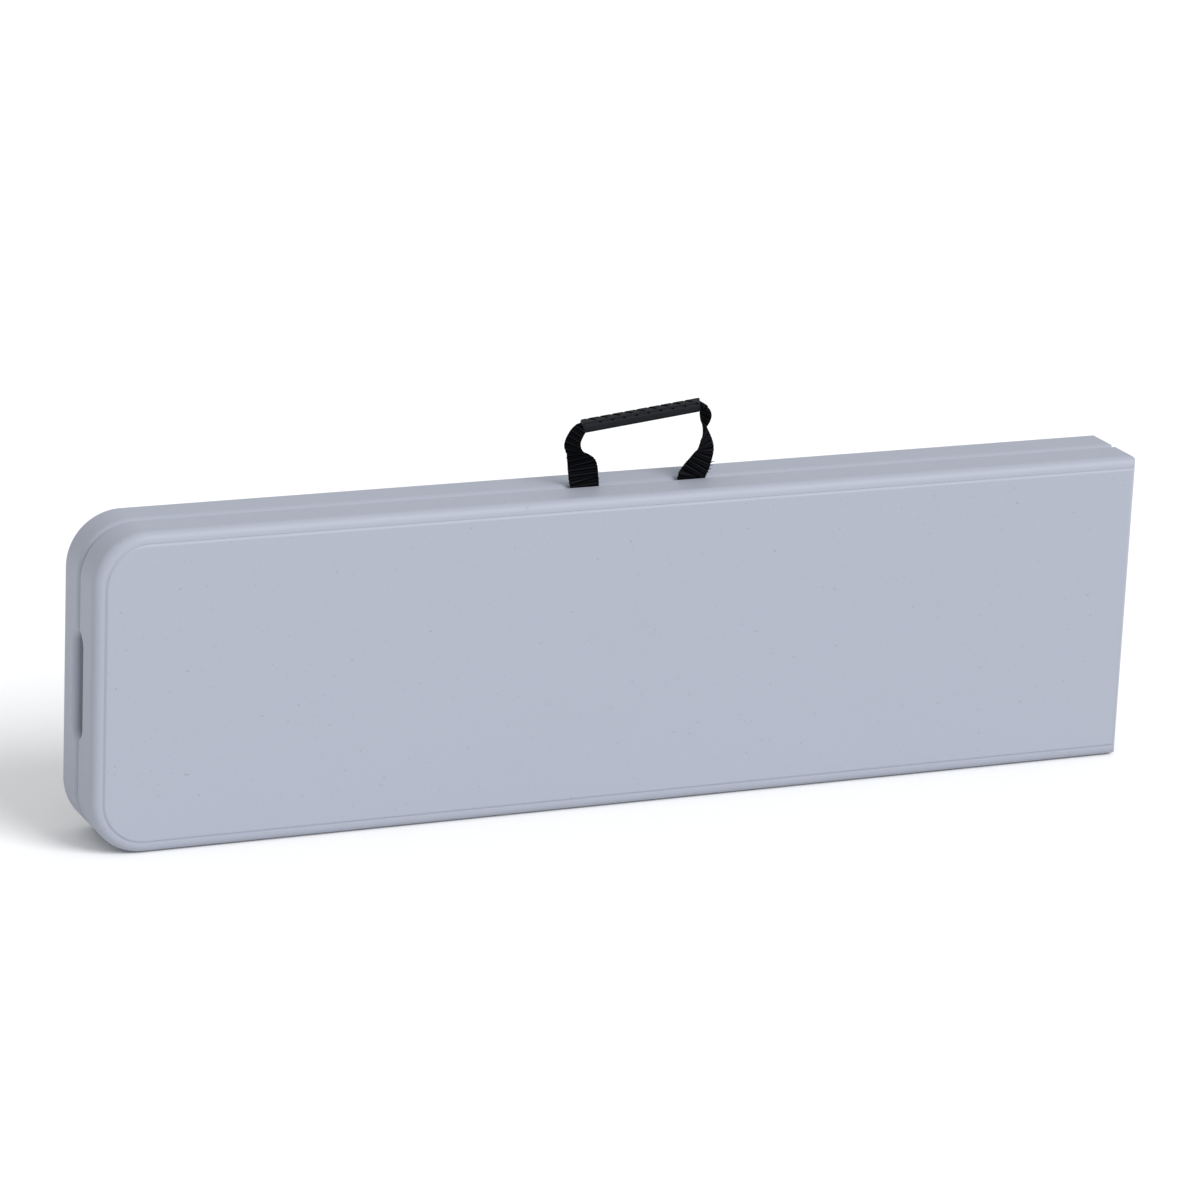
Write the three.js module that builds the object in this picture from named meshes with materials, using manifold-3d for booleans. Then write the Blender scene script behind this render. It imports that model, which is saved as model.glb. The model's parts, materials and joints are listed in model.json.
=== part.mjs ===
// A bench-sized folding table, folded shut like a suitcase and standing on one long edge.
// Two moulded half tops meet rim to rim and are hinged at the +X end. Each half holds two
// steel rails, a U-shaped leg and a brace. A webbing handle with a moulded grip stands on top.
// Millimetres, +Z up. X runs along the folded length and Y through the folded thickness.
// The front half lies at negative Y, and the rear half mirrors it in the plane y = 0.
import * as THREE from 'three';
import { mergeVertices } from 'three/addons/utils/BufferGeometryUtils.js';
import Module from 'manifold-3d';

const wasm = await Module();
wasm.setup();

// ---- Driving dimensions ----
const HALF_LENGTH = 902;           // one half top, from its outer end to the hinge axis
const WIDTH = 260;                 // width of the seat, which is the folded height
const HALF_THICKNESS = 40;         // seat face to seam plane
const SEAT_HEIGHT = 432;           // seat face to floor when the legs stand

const SEAM_GAP = 0.4;              // each rim stops this far from the seam plane
const END_GAP = 0.5;               // each half stops this far from the hinge axis
const FIT_GAP = 0.3;               // between pieces that touch on the real object

const OUTER_CORNER = 44;           // plan radius at the outer end
const HINGE_CORNER = 6;            // plan radius at the hinge end
const RIM_WIDTH = 12;
const FLOOR_DEPTH = 31.5;          // seam plane to the underside of the seat skin
const STEP_HEIGHT = 0.8;           // the seat panel stands this far above its border
const STEP_INSET = 8.6;
const ROUND_OVER = 6;

const KNUCKLE_RADIUS = 4.5;
const LEG_RADIUS = 11;
const LEG_WALL = 1.2;
const LEG_DEPTH = 14;              // seam plane to leg centreline, folded
const LEG_PIVOT_SETBACK = 115;     // outer end to leg pivot
const LEG_BEND = 42;
const CROSSBAR_RADIUS = 6;
const CROSSBAR_REACH = 210;        // leg pivot to crossbar
const PAD_THICKNESS = 3.5;

const BRACE_RADIUS = 4.75;
const BRACE_DEPTH = 26;
const BRACE_PIVOT_REACH = 330;     // leg pivot to brace pivot, along the half
const HOOK_OFFSET = 4.5;           // hook centre to brace centreline
const HOOK_WALL = 2.6;

const STRAP_WIDTH = 25;
const STRAP_THICKNESS = 1.6;
const TAIL_DEPTH = 3.3;            // seam plane to the strap's middle, under the anchor plate
const STRAP_DEPTH = 1.4;           // the same where the strap comes out at the seam
const STRAP_LEFT = -32.8;          // middle of each strap end, along X
const STRAP_RIGHT = 60.9;
const FOLDED_WIDTH = 12.6;         // the strap is folded in half inside the grip
const FOLDED_THICKNESS = 3.2;
const GRIP_WIDTH = 15.8;
const GRIP_THICKNESS = 8.6;
const GRIP_START = [-35.4, 309.5]; // X and Z of the grip's axis at each end
const GRIP_END = [63.7, 320.5];

// ---- Places worked out from them ----
const TOTAL_LENGTH = HALF_LENGTH + KNUCKLE_RADIUS;
const OUTER_X = -TOTAL_LENGTH / 2;
const HINGE_X = OUTER_X + HALF_LENGTH;
const END_X = HINGE_X - END_GAP;
const MID_Z = WIDTH / 2;
const LEG_PIVOT_X = OUTER_X + LEG_PIVOT_SETBACK;
const LEG_LENGTH = SEAT_HEIGHT - (HALF_THICKNESS - LEG_DEPTH);
const LEG_RUN_X = LEG_PIVOT_X + LEG_LENGTH - LEG_RADIUS - PAD_THICKNESS;
const BRACE_PIVOT_X = LEG_PIVOT_X + BRACE_PIVOT_REACH;
// With the leg at a right angle the hook holds the crossbar.
const BRACE_SPAN = Math.hypot(BRACE_PIVOT_REACH, CROSSBAR_REACH + BRACE_DEPTH - LEG_DEPTH);
const HOOK_REACH = Math.sqrt(BRACE_SPAN ** 2 - HOOK_OFFSET ** 2);

const RAIL_OUTER_Z = RIM_WIDTH + 2;
const RAIL_WIDTH = 14;
const RAIL_WALL = 1.4;
const RAIL_TOP_DEPTH = 4.4;
const RAIL_BASE_DEPTH = FLOOR_DEPTH - FIT_GAP;
const LEG_Z = RAIL_OUTER_Z + RAIL_WIDTH + 1 + LEG_RADIUS;
const SCREW_Z = RAIL_OUTER_Z + RAIL_WIDTH * 0.6;
const SCREW_XS = [LEG_PIVOT_X + 60, HINGE_X - 90];
const SCREW_RADIUS = 2;
const SCREW_LENGTH = 6;

const LEAF_LENGTH = 50;
const LEAF_HEIGHT = 46;
const LEAF_DEPTH = 1.6;
const LEAF_THICKNESS = 2.5;
const LEAF_RIVET_INSET = 15;
const LEAF_RIVET_X = HINGE_X - LEAF_LENGTH + LEAF_RIVET_INSET;
const LEAF_RIVET_RADIUS = 1.8;
const PIN_RADIUS = 2;
const RIVET_RADIUS = 4;

const BRACKET_WALL = 1.6;
const CHEEK_REACH = 7.8;           // middle of the width to each cheek's middle
const FOOT_REACH = 23;
const BRACKET_SCREW_ZS = [MID_Z - 16, MID_Z + 16];

// ---- Finishes ----
const plastic = { color: 0xb7bdcc, roughness: 0.5, metalness: 0 };
const paint = { color: 0x8b9096, roughness: 0.42, metalness: 0.3 };
const zinc = { color: 0xb9bcc0, roughness: 0.35, metalness: 0.9 };
const black = { color: 0x1b1c1f, roughness: 0.6, metalness: 0 };
const webbing = { color: 0x17181b, roughness: 0.9, metalness: 0 };

// ---- Solid helpers ----

// Turns every triangle of a geometry over.
function flipped(geometry) {
  const index = geometry.index.array;
  for (let i = 0; i < index.length; i += 3) {
    const first = index[i];
    index[i] = index[i + 1];
    index[i + 1] = first;
  }
  return geometry;
}

function signedVolume(geometry) {
  const position = geometry.attributes.position;
  const index = geometry.index.array;
  const [a, b, c] = [new THREE.Vector3(), new THREE.Vector3(), new THREE.Vector3()];
  let volume = 0;
  for (let i = 0; i < index.length; i += 3) {
    a.fromBufferAttribute(position, index[i]);
    b.fromBufferAttribute(position, index[i + 1]);
    c.fromBufferAttribute(position, index[i + 2]);
    volume += a.dot(b.cross(c)) / 6;
  }
  return volume;
}

// Keeps only positions, with shared vertices merged and faces pointing out.
function closed(geometry) {
  const bare = geometry.clone();
  bare.deleteAttribute('normal');
  bare.deleteAttribute('uv');
  const merged = mergeVertices(bare, 1e-4);
  return signedVolume(merged) < 0 ? flipped(merged) : merged;
}

function toManifold(geometry) {
  const merged = closed(geometry);
  const mesh = new wasm.Mesh({
    numProp: 3,
    vertProperties: new Float32Array(merged.attributes.position.array),
    triVerts: new Uint32Array(merged.index.array),
  });
  return new wasm.Manifold(mesh);
}

function toGeometry(manifold) {
  const mesh = manifold.getMesh();
  const geometry = new THREE.BufferGeometry();
  geometry.setAttribute('position', new THREE.BufferAttribute(mesh.vertProperties, 3));
  geometry.setIndex(new THREE.BufferAttribute(mesh.triVerts, 1));
  return geometry;
}

function cut(geometry, ...tools) {
  return toGeometry(tools.reduce((body, tool) => body.subtract(toManifold(tool)), toManifold(geometry)));
}

function join(geometry, ...others) {
  return toGeometry(others.reduce((body, other) => body.add(toManifold(other)), toManifold(geometry)));
}

// A box between two corners given as [x, depth, z], depth being the distance from the seam.
function box(low, high) {
  const geometry = new THREE.BoxGeometry(high[0] - low[0], high[1] - low[1], high[2] - low[2]);
  return geometry.translate((low[0] + high[0]) / 2, -(low[1] + high[1]) / 2, (low[2] + high[2]) / 2);
}

// A round bar along Z, given by its centre [x, depth] and its two ends.
function barZ(radius, centre, lowZ, highZ, sides = 12) {
  const geometry = new THREE.CylinderGeometry(radius, radius, highZ - lowZ, sides);
  geometry.rotateX(Math.PI / 2);
  return geometry.translate(centre[0], -centre[1], (lowZ + highZ) / 2);
}

// A round bar along Y, given by its centre [x, z] and its two depths.
function barY(radius, centre, nearDepth, farDepth, sides = 8) {
  const geometry = new THREE.CylinderGeometry(radius, radius, farDepth - nearDepth, sides);
  return geometry.translate(centre[0], -(nearDepth + farDepth) / 2, centre[1]);
}

// Joins rings of equal point count into a closed skin. Ends are capped with the given
// triangles, or the last ring runs on into the first when there are none.
function loft(rings, caps = null) {
  const count = rings[0].length;
  const position = rings.flat().flatMap((point) => [point.x, point.y, point.z]);
  const index = [];
  const lastRing = caps ? rings.length - 1 : rings.length;
  for (let ring = 0; ring < lastRing; ring += 1) {
    const here = ring * count;
    const next = ((ring + 1) % rings.length) * count;
    for (let i = 0; i < count; i += 1) {
      const j = (i + 1) % count;
      index.push(here + i, here + j, next + j, here + i, next + j, next + i);
    }
  }
  if (caps) {
    const end = (rings.length - 1) * count;
    caps.forEach(([a, b, c]) => {
      index.push(a, c, b);
      index.push(end + a, end + b, end + c);
    });
  }
  const geometry = new THREE.BufferGeometry();
  geometry.setAttribute('position', new THREE.Float32BufferAttribute(position, 3));
  geometry.setIndex(index);
  return closed(geometry);
}

function capTriangles(outline) {
  return THREE.ShapeUtils.triangulateShape(outline, []);
}

function mirrored(geometry) {
  return closed(geometry.clone().scale(1, -1, 1));
}

// ---- Half top ----

// Plan outline of a half top in X and Z, drawn in by a different amount at each end.
function topOutline(outerInset, sideInset, hingeInset) {
  const outerRadius = OUTER_CORNER - Math.max(outerInset, sideInset) * 0.9;
  const hingeRadius = Math.max(HINGE_CORNER - sideInset * 0.5, 1.5);
  const [left, right] = [OUTER_X + outerInset, END_X - hingeInset];
  const [low, high] = [sideInset, WIDTH - sideInset];
  const corners = [
    [right - hingeRadius, low + hingeRadius, hingeRadius, -90, 3],
    [right - hingeRadius, high - hingeRadius, hingeRadius, 0, 3],
    [left + outerRadius, high - outerRadius, outerRadius, 90, 9],
    [left + outerRadius, low + outerRadius, outerRadius, 180, 9],
  ];
  return corners.flatMap(([x, z, radius, startAngle, steps]) => {
    const points = [];
    for (let step = 0; step <= steps; step += 1) {
      const angle = THREE.MathUtils.degToRad(startAngle + (90 * step) / steps);
      points.push(new THREE.Vector2(x + radius * Math.cos(angle), z + radius * Math.sin(angle)));
    }
    return points;
  });
}

// The wall section, from the seat face over the round-over to the rim and down into the tray.
// Each entry is outer and side inset, hinge-end inset, and depth from the seam.
function wallSection() {
  const border = HALF_THICKNESS - STEP_HEIGHT;
  const section = [
    [STEP_INSET + 1, 1.3, HALF_THICKNESS],
    [STEP_INSET, 1.2, border],
  ];
  for (let step = 0; step <= 3; step += 1) {
    const angle = (Math.PI / 6) * step;
    const inset = 0.5 + ROUND_OVER * (1 - Math.sin(angle));
    const depth = border - ROUND_OVER * (1 - Math.cos(angle));
    section.push([inset, 0.2 + 0.15 * inset, depth]);
  }
  section.push([0, 0, 3], [0, 0, SEAM_GAP]);
  section.push([RIM_WIDTH, RIM_WIDTH, SEAM_GAP]);
  section.push([RIM_WIDTH + 0.6, RIM_WIDTH, FLOOR_DEPTH - 3]);
  section.push([RIM_WIDTH + 1.4, RIM_WIDTH + 0.8, FLOOR_DEPTH]);
  return section;
}

// The lens-shaped finger hole in the outer end wall, shared by both halves.
function fingerHoleTool() {
  const halfChord = 49;
  const reach = 15;
  const radius = (halfChord ** 2 + reach ** 2) / (2 * reach);
  const swing = Math.asin(halfChord / radius);
  const shape = new THREE.Shape();
  shape.absarc(0, radius - reach, radius, -Math.PI / 2 - swing, -Math.PI / 2 + swing, false);
  const options = { depth: RIM_WIDTH + 8, bevelEnabled: false, curveSegments: 10 };
  const geometry = new THREE.ExtrudeGeometry(shape, options);
  return geometry.rotateY(Math.PI / 2).translate(OUTER_X - 3, 0, MID_Z);
}

// Shallow tapered wells that tie the two skins together, in two rows.
function skinWells() {
  const [mouthRadius, baseRadius, wellDepth, overlap] = [7.5, 5, 5, 0.5];
  const [columns, columnPitch, rowReach] = [9, 84, 62];
  const firstX = LEG_PIVOT_X + 20;
  const middleY = -FLOOR_DEPTH - (wellDepth - overlap) / 2;
  const wells = [];
  for (let column = 0; column < columns; column += 1) {
    for (const z of [MID_Z - rowReach, MID_Z + rowReach]) {
      const geometry = new THREE.CylinderGeometry(mouthRadius, baseRadius, wellDepth + overlap, 8);
      wells.push(geometry.translate(firstX + columnPitch * column, middleY, z));
    }
  }
  return wells;
}

function screwHoles() {
  const [mouth, tip] = [FLOOR_DEPTH - 1, FLOOR_DEPTH + SCREW_LENGTH - 0.5];
  const drill = (x, z) => barY(SCREW_RADIUS + FIT_GAP, [x, z], mouth, tip);
  const railHoles = SCREW_XS.flatMap((x) => [drill(x, SCREW_Z), drill(x, WIDTH - SCREW_Z)]);
  const bracketHoles = BRACKET_SCREW_ZS.map((z) => drill(BRACE_PIVOT_X, z));
  return [...railHoles, ...bracketHoles];
}

function hingeNotches() {
  const [start, end] = [END_X - RIM_WIDTH - 3, HINGE_X + 1];
  const notch = (low) => box([start, -1, low], [end, KNUCKLE_RADIUS + 1, low + LEAF_HEIGHT + 1]);
  return [notch(RAIL_OUTER_Z - 0.5), notch(WIDTH - RAIL_OUTER_Z - LEAF_HEIGHT - 0.5)];
}

function topPanel() {
  const section = wallSection();
  const rings = section.map(([inset, hingeInset, depth]) => {
    const outline = topOutline(inset, inset, hingeInset);
    return outline.map((point) => new THREE.Vector3(point.x, -depth, point.y));
  });
  const shell = loft(rings, capTriangles(topOutline(0, 0, 0)));
  return cut(shell, fingerHoleTool(), ...hingeNotches(), ...skinWells(), ...screwHoles());
}

// The carrying strap comes out through two slots in the front half's rim.
function strapSlots() {
  const halfSlot = STRAP_WIDTH / 2 + 1;
  const slot = (x) => box([x - halfSlot, -1, WIDTH - RIM_WIDTH - 3], [x + halfSlot, 5, WIDTH + 1]);
  return [slot(STRAP_LEFT), slot(STRAP_RIGHT)];
}

// ---- Rails and screws ----

// A C-channel lying along the half, with its open side towards the legs.
function rail(place) {
  const [low, high] = [RAIL_OUTER_Z, RAIL_OUTER_Z + RAIL_WIDTH];
  const [near, far] = [RAIL_TOP_DEPTH, RAIL_BASE_DEPTH];
  const start = LEG_PIVOT_X - 30;
  const end = END_X - RIM_WIDTH - 2;
  const block = box([start, near, low], [end, far, high]);
  const hollow = box([start - 1, near + RAIL_WALL, low + RAIL_WALL], [end + 1, far - RAIL_WALL, high + 1]);
  const pivotHole = barZ(RIVET_RADIUS + FIT_GAP, [LEG_PIVOT_X, LEG_DEPTH], low - 1, low + 3, 10);
  const screwPasses = SCREW_XS.map((x) => barY(SCREW_RADIUS + FIT_GAP, [x, SCREW_Z], far - 3, far + 1));
  const leafPass = barY(LEAF_RIVET_RADIUS + FIT_GAP, [LEAF_RIVET_X, SCREW_Z], near - 1, near + 3);
  const strapPasses = [STRAP_LEFT, STRAP_RIGHT].map((x) => {
    return barY(LEAF_RIVET_RADIUS + FIT_GAP, [x, SCREW_Z], near - 1, near + 3);
  });
  const geometry = cut(block, hollow, pivotHole, leafPass, ...screwPasses);
  if (place === 'lower') return geometry;
  return turnedOver(place === 'upper with strap holes' ? cut(geometry, ...strapPasses) : geometry);
}

// The same piece at the other long edge, mirrored in the middle of the width.
function turnedOver(geometry) {
  return closed(geometry.clone().scale(1, 1, -1).translate(0, 0, WIDTH));
}

// A domed screw along Y with its head's underside at the origin, pointing into the seat.
function screw() {
  const profile = [
    [0, -SCREW_LENGTH], [SCREW_RADIUS, -SCREW_LENGTH + 1], [SCREW_RADIUS, 0],
    [4, 0.1], [3.8, 0.9], [2.6, 1.7], [0, 2],
  ];
  return new THREE.LatheGeometry(profile.map(([radius, y]) => new THREE.Vector2(radius, y)), 8);
}

// A rivet along an axis: shank and two low heads, from a lathe profile.
function rivet(shankRadius, headRadius, grip, headHeight, sides = 10) {
  const profile = [
    [0, -headHeight], [headRadius, -headHeight], [headRadius, 0], [shankRadius, 0.01],
    [shankRadius, grip - 0.01], [headRadius, grip], [headRadius, grip + headHeight], [0, grip + headHeight],
  ];
  return new THREE.LatheGeometry(profile.map(([radius, y]) => new THREE.Vector2(radius, y)), sides);
}

// ---- Leg ----

// Centreline of the U as [x, z, direction angle], from one pivot end to the other.
function legStations() {
  const bendSteps = 6;
  const stations = [{ x: LEG_PIVOT_X - 12, z: LEG_Z, angle: 0 }];
  for (let step = 0; step <= bendSteps; step += 1) {
    const angle = (Math.PI / 2) * (step / bendSteps);
    const x = LEG_RUN_X - LEG_BEND + LEG_BEND * Math.sin(angle);
    stations.push({ x, z: LEG_Z + LEG_BEND - LEG_BEND * Math.cos(angle), angle });
  }
  const upper = stations.map(({ x, z, angle }) => ({ x, z: WIDTH - z, angle: Math.PI - angle }));
  return [...stations, ...upper.reverse()];
}

function tubeRing(station, radius, sides) {
  const ring = [];
  for (let i = 0; i < sides; i += 1) {
    const turn = (2 * Math.PI * i) / sides;
    const across = radius * Math.cos(turn);
    const x = station.x - across * Math.sin(station.angle);
    const z = station.z + across * Math.cos(station.angle);
    ring.push(new THREE.Vector3(x, -LEG_DEPTH + radius * Math.sin(turn), z));
  }
  return ring;
}

function legTube() {
  const stations = legStations();
  const outside = stations.map((station) => tubeRing(station, LEG_RADIUS, 14));
  const inside = stations.map((station) => tubeRing(station, LEG_RADIUS - LEG_WALL, 14));
  const tube = loft([...outside, ...inside.reverse()]);
  return cut(tube, barZ(RIVET_RADIUS + FIT_GAP, [LEG_PIVOT_X, LEG_DEPTH], 1, WIDTH - 1, 10));
}

// The welded cross rod, with its ends shaped to the leg tubes.
function crossbar() {
  const x = LEG_PIVOT_X + CROSSBAR_REACH;
  const rod = barZ(CROSSBAR_RADIUS, [x, LEG_DEPTH], LEG_Z, WIDTH - LEG_Z, 14);
  const saddle = (z) => {
    const geometry = new THREE.CylinderGeometry(LEG_RADIUS + FIT_GAP, LEG_RADIUS + FIT_GAP, 40, 28);
    return geometry.rotateZ(Math.PI / 2).translate(x, -LEG_DEPTH, z);
  };
  return cut(rod, saddle(LEG_Z), saddle(WIDTH - LEG_Z));
}

// A plastic foot pad that clips to the floor side of the leg's lower run.
function footPad() {
  const wrap = THREE.MathUtils.degToRad(64);
  const length = 34;
  const shape = new THREE.Shape();
  shape.absarc(0, 0, LEG_RADIUS + PAD_THICKNESS, -wrap, wrap, false);
  shape.absarc(0, 0, LEG_RADIUS + FIT_GAP, wrap, -wrap, true);
  const geometry = new THREE.ExtrudeGeometry(shape, { depth: length, bevelEnabled: false, curveSegments: 8 });
  return geometry.translate(0, 0, -length / 2);
}

// ---- Brace ----

// Drawn with its pivot at the origin and its hook towards -X, then put in place.
function brace() {
  const rodEnd = HOOK_REACH - 8.2;
  const rod = new THREE.CylinderGeometry(BRACE_RADIUS, BRACE_RADIUS, rodEnd, 12);
  rod.rotateZ(Math.PI / 2).translate(-rodEnd / 2, 0, 0);
  const eye = barZ(BRACE_RADIUS, [0, 0], -5.5, 5.5, 16);
  const eyeHole = barZ(PIN_RADIUS + FIT_GAP, [0, 0], -7, 7, 10);
  const inner = CROSSBAR_RADIUS + FIT_GAP;
  const width = 14;
  const hookShape = new THREE.Shape();
  const [start, end] = [-34, 146].map(THREE.MathUtils.degToRad);
  hookShape.absarc(0, 0, inner + HOOK_WALL, Math.PI + start, Math.PI + end, false);
  hookShape.absarc(0, 0, inner, Math.PI + end, Math.PI + start, true);
  const hook = new THREE.ExtrudeGeometry(hookShape, { depth: width, bevelEnabled: false, curveSegments: 10 });
  hook.translate(-HOOK_REACH, HOOK_OFFSET, -width / 2);
  const tangLow = BRACE_RADIUS - 0.3;
  const tang = box([-HOOK_REACH + 2, tangLow - 2.3, -5], [-HOOK_REACH + 14, tangLow, 5]);
  return cut(join(rod, eye, hook, tang), eyeHole);
}

// The clevis that carries the brace pin, with a web behind it and two screwed feet.
function braceBracket() {
  const [near, far] = [BRACE_DEPTH - 5.5, RAIL_BASE_DEPTH];
  const [start, end] = [BRACE_PIVOT_X - 7, BRACE_PIVOT_X + 8.6];
  const cheek = (z) => box([start, near, z - BRACKET_WALL / 2], [end, far, z + BRACKET_WALL / 2]);
  const web = box([end - BRACKET_WALL, near, MID_Z - CHEEK_REACH], [end, far, MID_Z + CHEEK_REACH]);
  const foot = (low, high) => box([start, far - BRACKET_WALL, low], [end, far, high]);
  const lowFoot = foot(MID_Z - FOOT_REACH, MID_Z - CHEEK_REACH);
  const highFoot = foot(MID_Z + CHEEK_REACH, MID_Z + FOOT_REACH);
  const body = join(cheek(MID_Z - CHEEK_REACH), cheek(MID_Z + CHEEK_REACH), web, lowFoot, highFoot);
  const pinHole = barZ(PIN_RADIUS + FIT_GAP, [BRACE_PIVOT_X, BRACE_DEPTH], MID_Z - 20, MID_Z + 20, 10);
  const footHoles = BRACKET_SCREW_ZS.map((z) => {
    return barY(SCREW_RADIUS + FIT_GAP, [BRACE_PIVOT_X, z], far - 3, far + 1);
  });
  return cut(body, pinHole, ...footHoles);
}

// ---- Hinges ----

// One knuckle round the hinge axis, between two heights.
function knuckle(lowZ, highZ) {
  return barZ(KNUCKLE_RADIUS, [HINGE_X, 0], lowZ, highZ, 16);
}

// A hinge leaf on the lower rail. The front leaf has the outer knuckles and the rear the middle one.
function hingeLeaf(hasMiddleKnuckle) {
  const low = RAIL_OUTER_Z;
  const third = LEAF_HEIGHT / 3;
  const plate = box(
    [HINGE_X - LEAF_LENGTH, LEAF_DEPTH, low],
    [HINGE_X - 1, LEAF_DEPTH + LEAF_THICKNESS, low + LEAF_HEIGHT],
  );
  const gap = FIT_GAP / 2;
  const clear = KNUCKLE_RADIUS + FIT_GAP;
  const band = (from, to) => barZ(clear, [HINGE_X, 0], from, to, 16);
  const bore = barZ(PIN_RADIUS + 0.05, [HINGE_X, 0], low - 1, low + LEAF_HEIGHT + 1, 16);
  const rivetHole = barY(LEAF_RIVET_RADIUS + FIT_GAP, [LEAF_RIVET_X, SCREW_Z], 0.5, 6);
  if (hasMiddleKnuckle) {
    const lowerBand = band(low - 1, low + third + gap);
    const upperBand = band(low + 2 * third - gap, low + LEAF_HEIGHT + 1);
    const cleared = cut(plate, lowerBand, upperBand);
    return cut(join(cleared, knuckle(low + third + gap, low + 2 * third - gap)), bore, rivetHole);
  }
  const cleared = cut(plate, band(low + third - gap, low + 2 * third + gap));
  const knuckles = [knuckle(low, low + third - gap), knuckle(low + 2 * third + gap, low + LEAF_HEIGHT)];
  return cut(join(cleared, ...knuckles), bore, rivetHole);
}

function hingePin() {
  const low = RAIL_OUTER_Z;
  return barZ(PIN_RADIUS, [HINGE_X, 0], low - 0.3, low + LEAF_HEIGHT + 0.3, 16);
}

// ---- Carrying handle ----

// Strap stations: place in X and Z, travel direction and turn of the width in degrees, width
// and thickness. The width starts along X at the seam and lies along Y inside the grip.
const STRAP_ROUTE = [
  [STRAP_LEFT, WIDTH + 1.1, 90, 0, STRAP_WIDTH, STRAP_THICKNESS],
  [STRAP_LEFT - 1.1, WIDTH + 7, 96, -7, STRAP_WIDTH, STRAP_THICKNESS],
  [STRAP_LEFT - 2.9, WIDTH + 17.3, 108, -25, 23.8, STRAP_THICKNESS],
  [STRAP_LEFT - 7, WIDTH + 25.2, 120, -52, 22.5, STRAP_THICKNESS],
  [STRAP_LEFT - 11.2, WIDTH + 32.2, 98, -75, 22.5, STRAP_THICKNESS],
  [STRAP_LEFT - 10.8, WIDTH + 38.9, 70, -86, 22, 1.7],
  [STRAP_LEFT - 6.8, WIDTH + 45.6, 45, -90, 18, 2.2],
  [GRIP_START[0] - 1, GRIP_START[1] - 0.2, 10, -90, FOLDED_WIDTH, FOLDED_THICKNESS],
  [GRIP_END[0] + 1, GRIP_END[1] - 0.1, 0, -90, FOLDED_WIDTH, FOLDED_THICKNESS],
  [STRAP_RIGHT + 7.2, WIDTH + 55.6, -60, -90, 16.5, 2.2],
  [STRAP_RIGHT + 9.4, WIDTH + 48.9, -79, -93, 20, 1.7],
  [STRAP_RIGHT + 8.6, WIDTH + 41.8, -88, -111, 22.5, STRAP_THICKNESS],
  [STRAP_RIGHT + 9.8, WIDTH + 34.8, -84, -128, 22.5, STRAP_THICKNESS],
  [STRAP_RIGHT + 10.6, WIDTH + 22.6, -96, -151, 23, STRAP_THICKNESS],
  [STRAP_RIGHT + 7, WIDTH + 12.2, -106, -164, 23.6, STRAP_THICKNESS],
  [STRAP_RIGHT + 1.8, WIDTH + 5, -98, -176, 24.4, STRAP_THICKNESS],
  [STRAP_RIGHT, WIDTH + 1.1, -90, -180, STRAP_WIDTH, STRAP_THICKNESS],
];

function strapLoop() {
  const rings = STRAP_ROUTE.map(([x, z, heading, turn, width, thickness]) => {
    const [aim, roll] = [heading, turn].map(THREE.MathUtils.degToRad);
    const travel = new THREE.Vector3(Math.cos(aim), 0, Math.sin(aim));
    const flat = new THREE.Vector3(Math.cos(roll), Math.sin(roll), 0);
    const across = flat.addScaledVector(travel, -flat.dot(travel)).normalize();
    const through = new THREE.Vector3().crossVectors(travel, across);
    const centre = new THREE.Vector3(x, -STRAP_DEPTH, z);
    const corner = (side, face) => {
      const point = centre.clone().addScaledVector(across, (side * width) / 2);
      return point.addScaledVector(through, (face * thickness) / 2);
    };
    return [corner(-1, -1), corner(1, -1), corner(1, 1), corner(-1, 1)];
  });
  return loft(rings, [[0, 1, 2], [0, 2, 3]]);
}

// The part of the strap that stays put: down from the slot in the rim, over to the rail.
function strapTail(x) {
  const [halfWidth, halfThickness] = [STRAP_WIDTH / 2, STRAP_THICKNESS / 2];
  const stations = [
    [WIDTH - 0.6, STRAP_DEPTH],
    [WIDTH - 3.6, STRAP_DEPTH],
    [WIDTH - 11, TAIL_DEPTH],
    [WIDTH - 27, TAIL_DEPTH],
  ];
  const rings = stations.map(([z, depth]) => {
    const corner = (side, face) => {
      return new THREE.Vector3(x + side * halfWidth, -depth + face * halfThickness, z);
    };
    return [corner(-1, -1), corner(1, -1), corner(1, 1), corner(-1, 1)];
  });
  const body = closed(loft(rings, [[0, 1, 2], [0, 2, 3]]));
  return cut(body, barY(LEAF_RIVET_RADIUS + FIT_GAP, [x, WIDTH - SCREW_Z], 1, 6));
}

function anchorPlate(x) {
  const [near, far] = [1.2, 2.3];
  const body = box([x - 10, near, WIDTH - SCREW_Z - 6], [x + 10, far, WIDTH - SCREW_Z + 6]);
  return cut(body, barY(LEAF_RIVET_RADIUS + FIT_GAP, [x, WIDTH - SCREW_Z], near - 1, far + 1));
}

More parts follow.
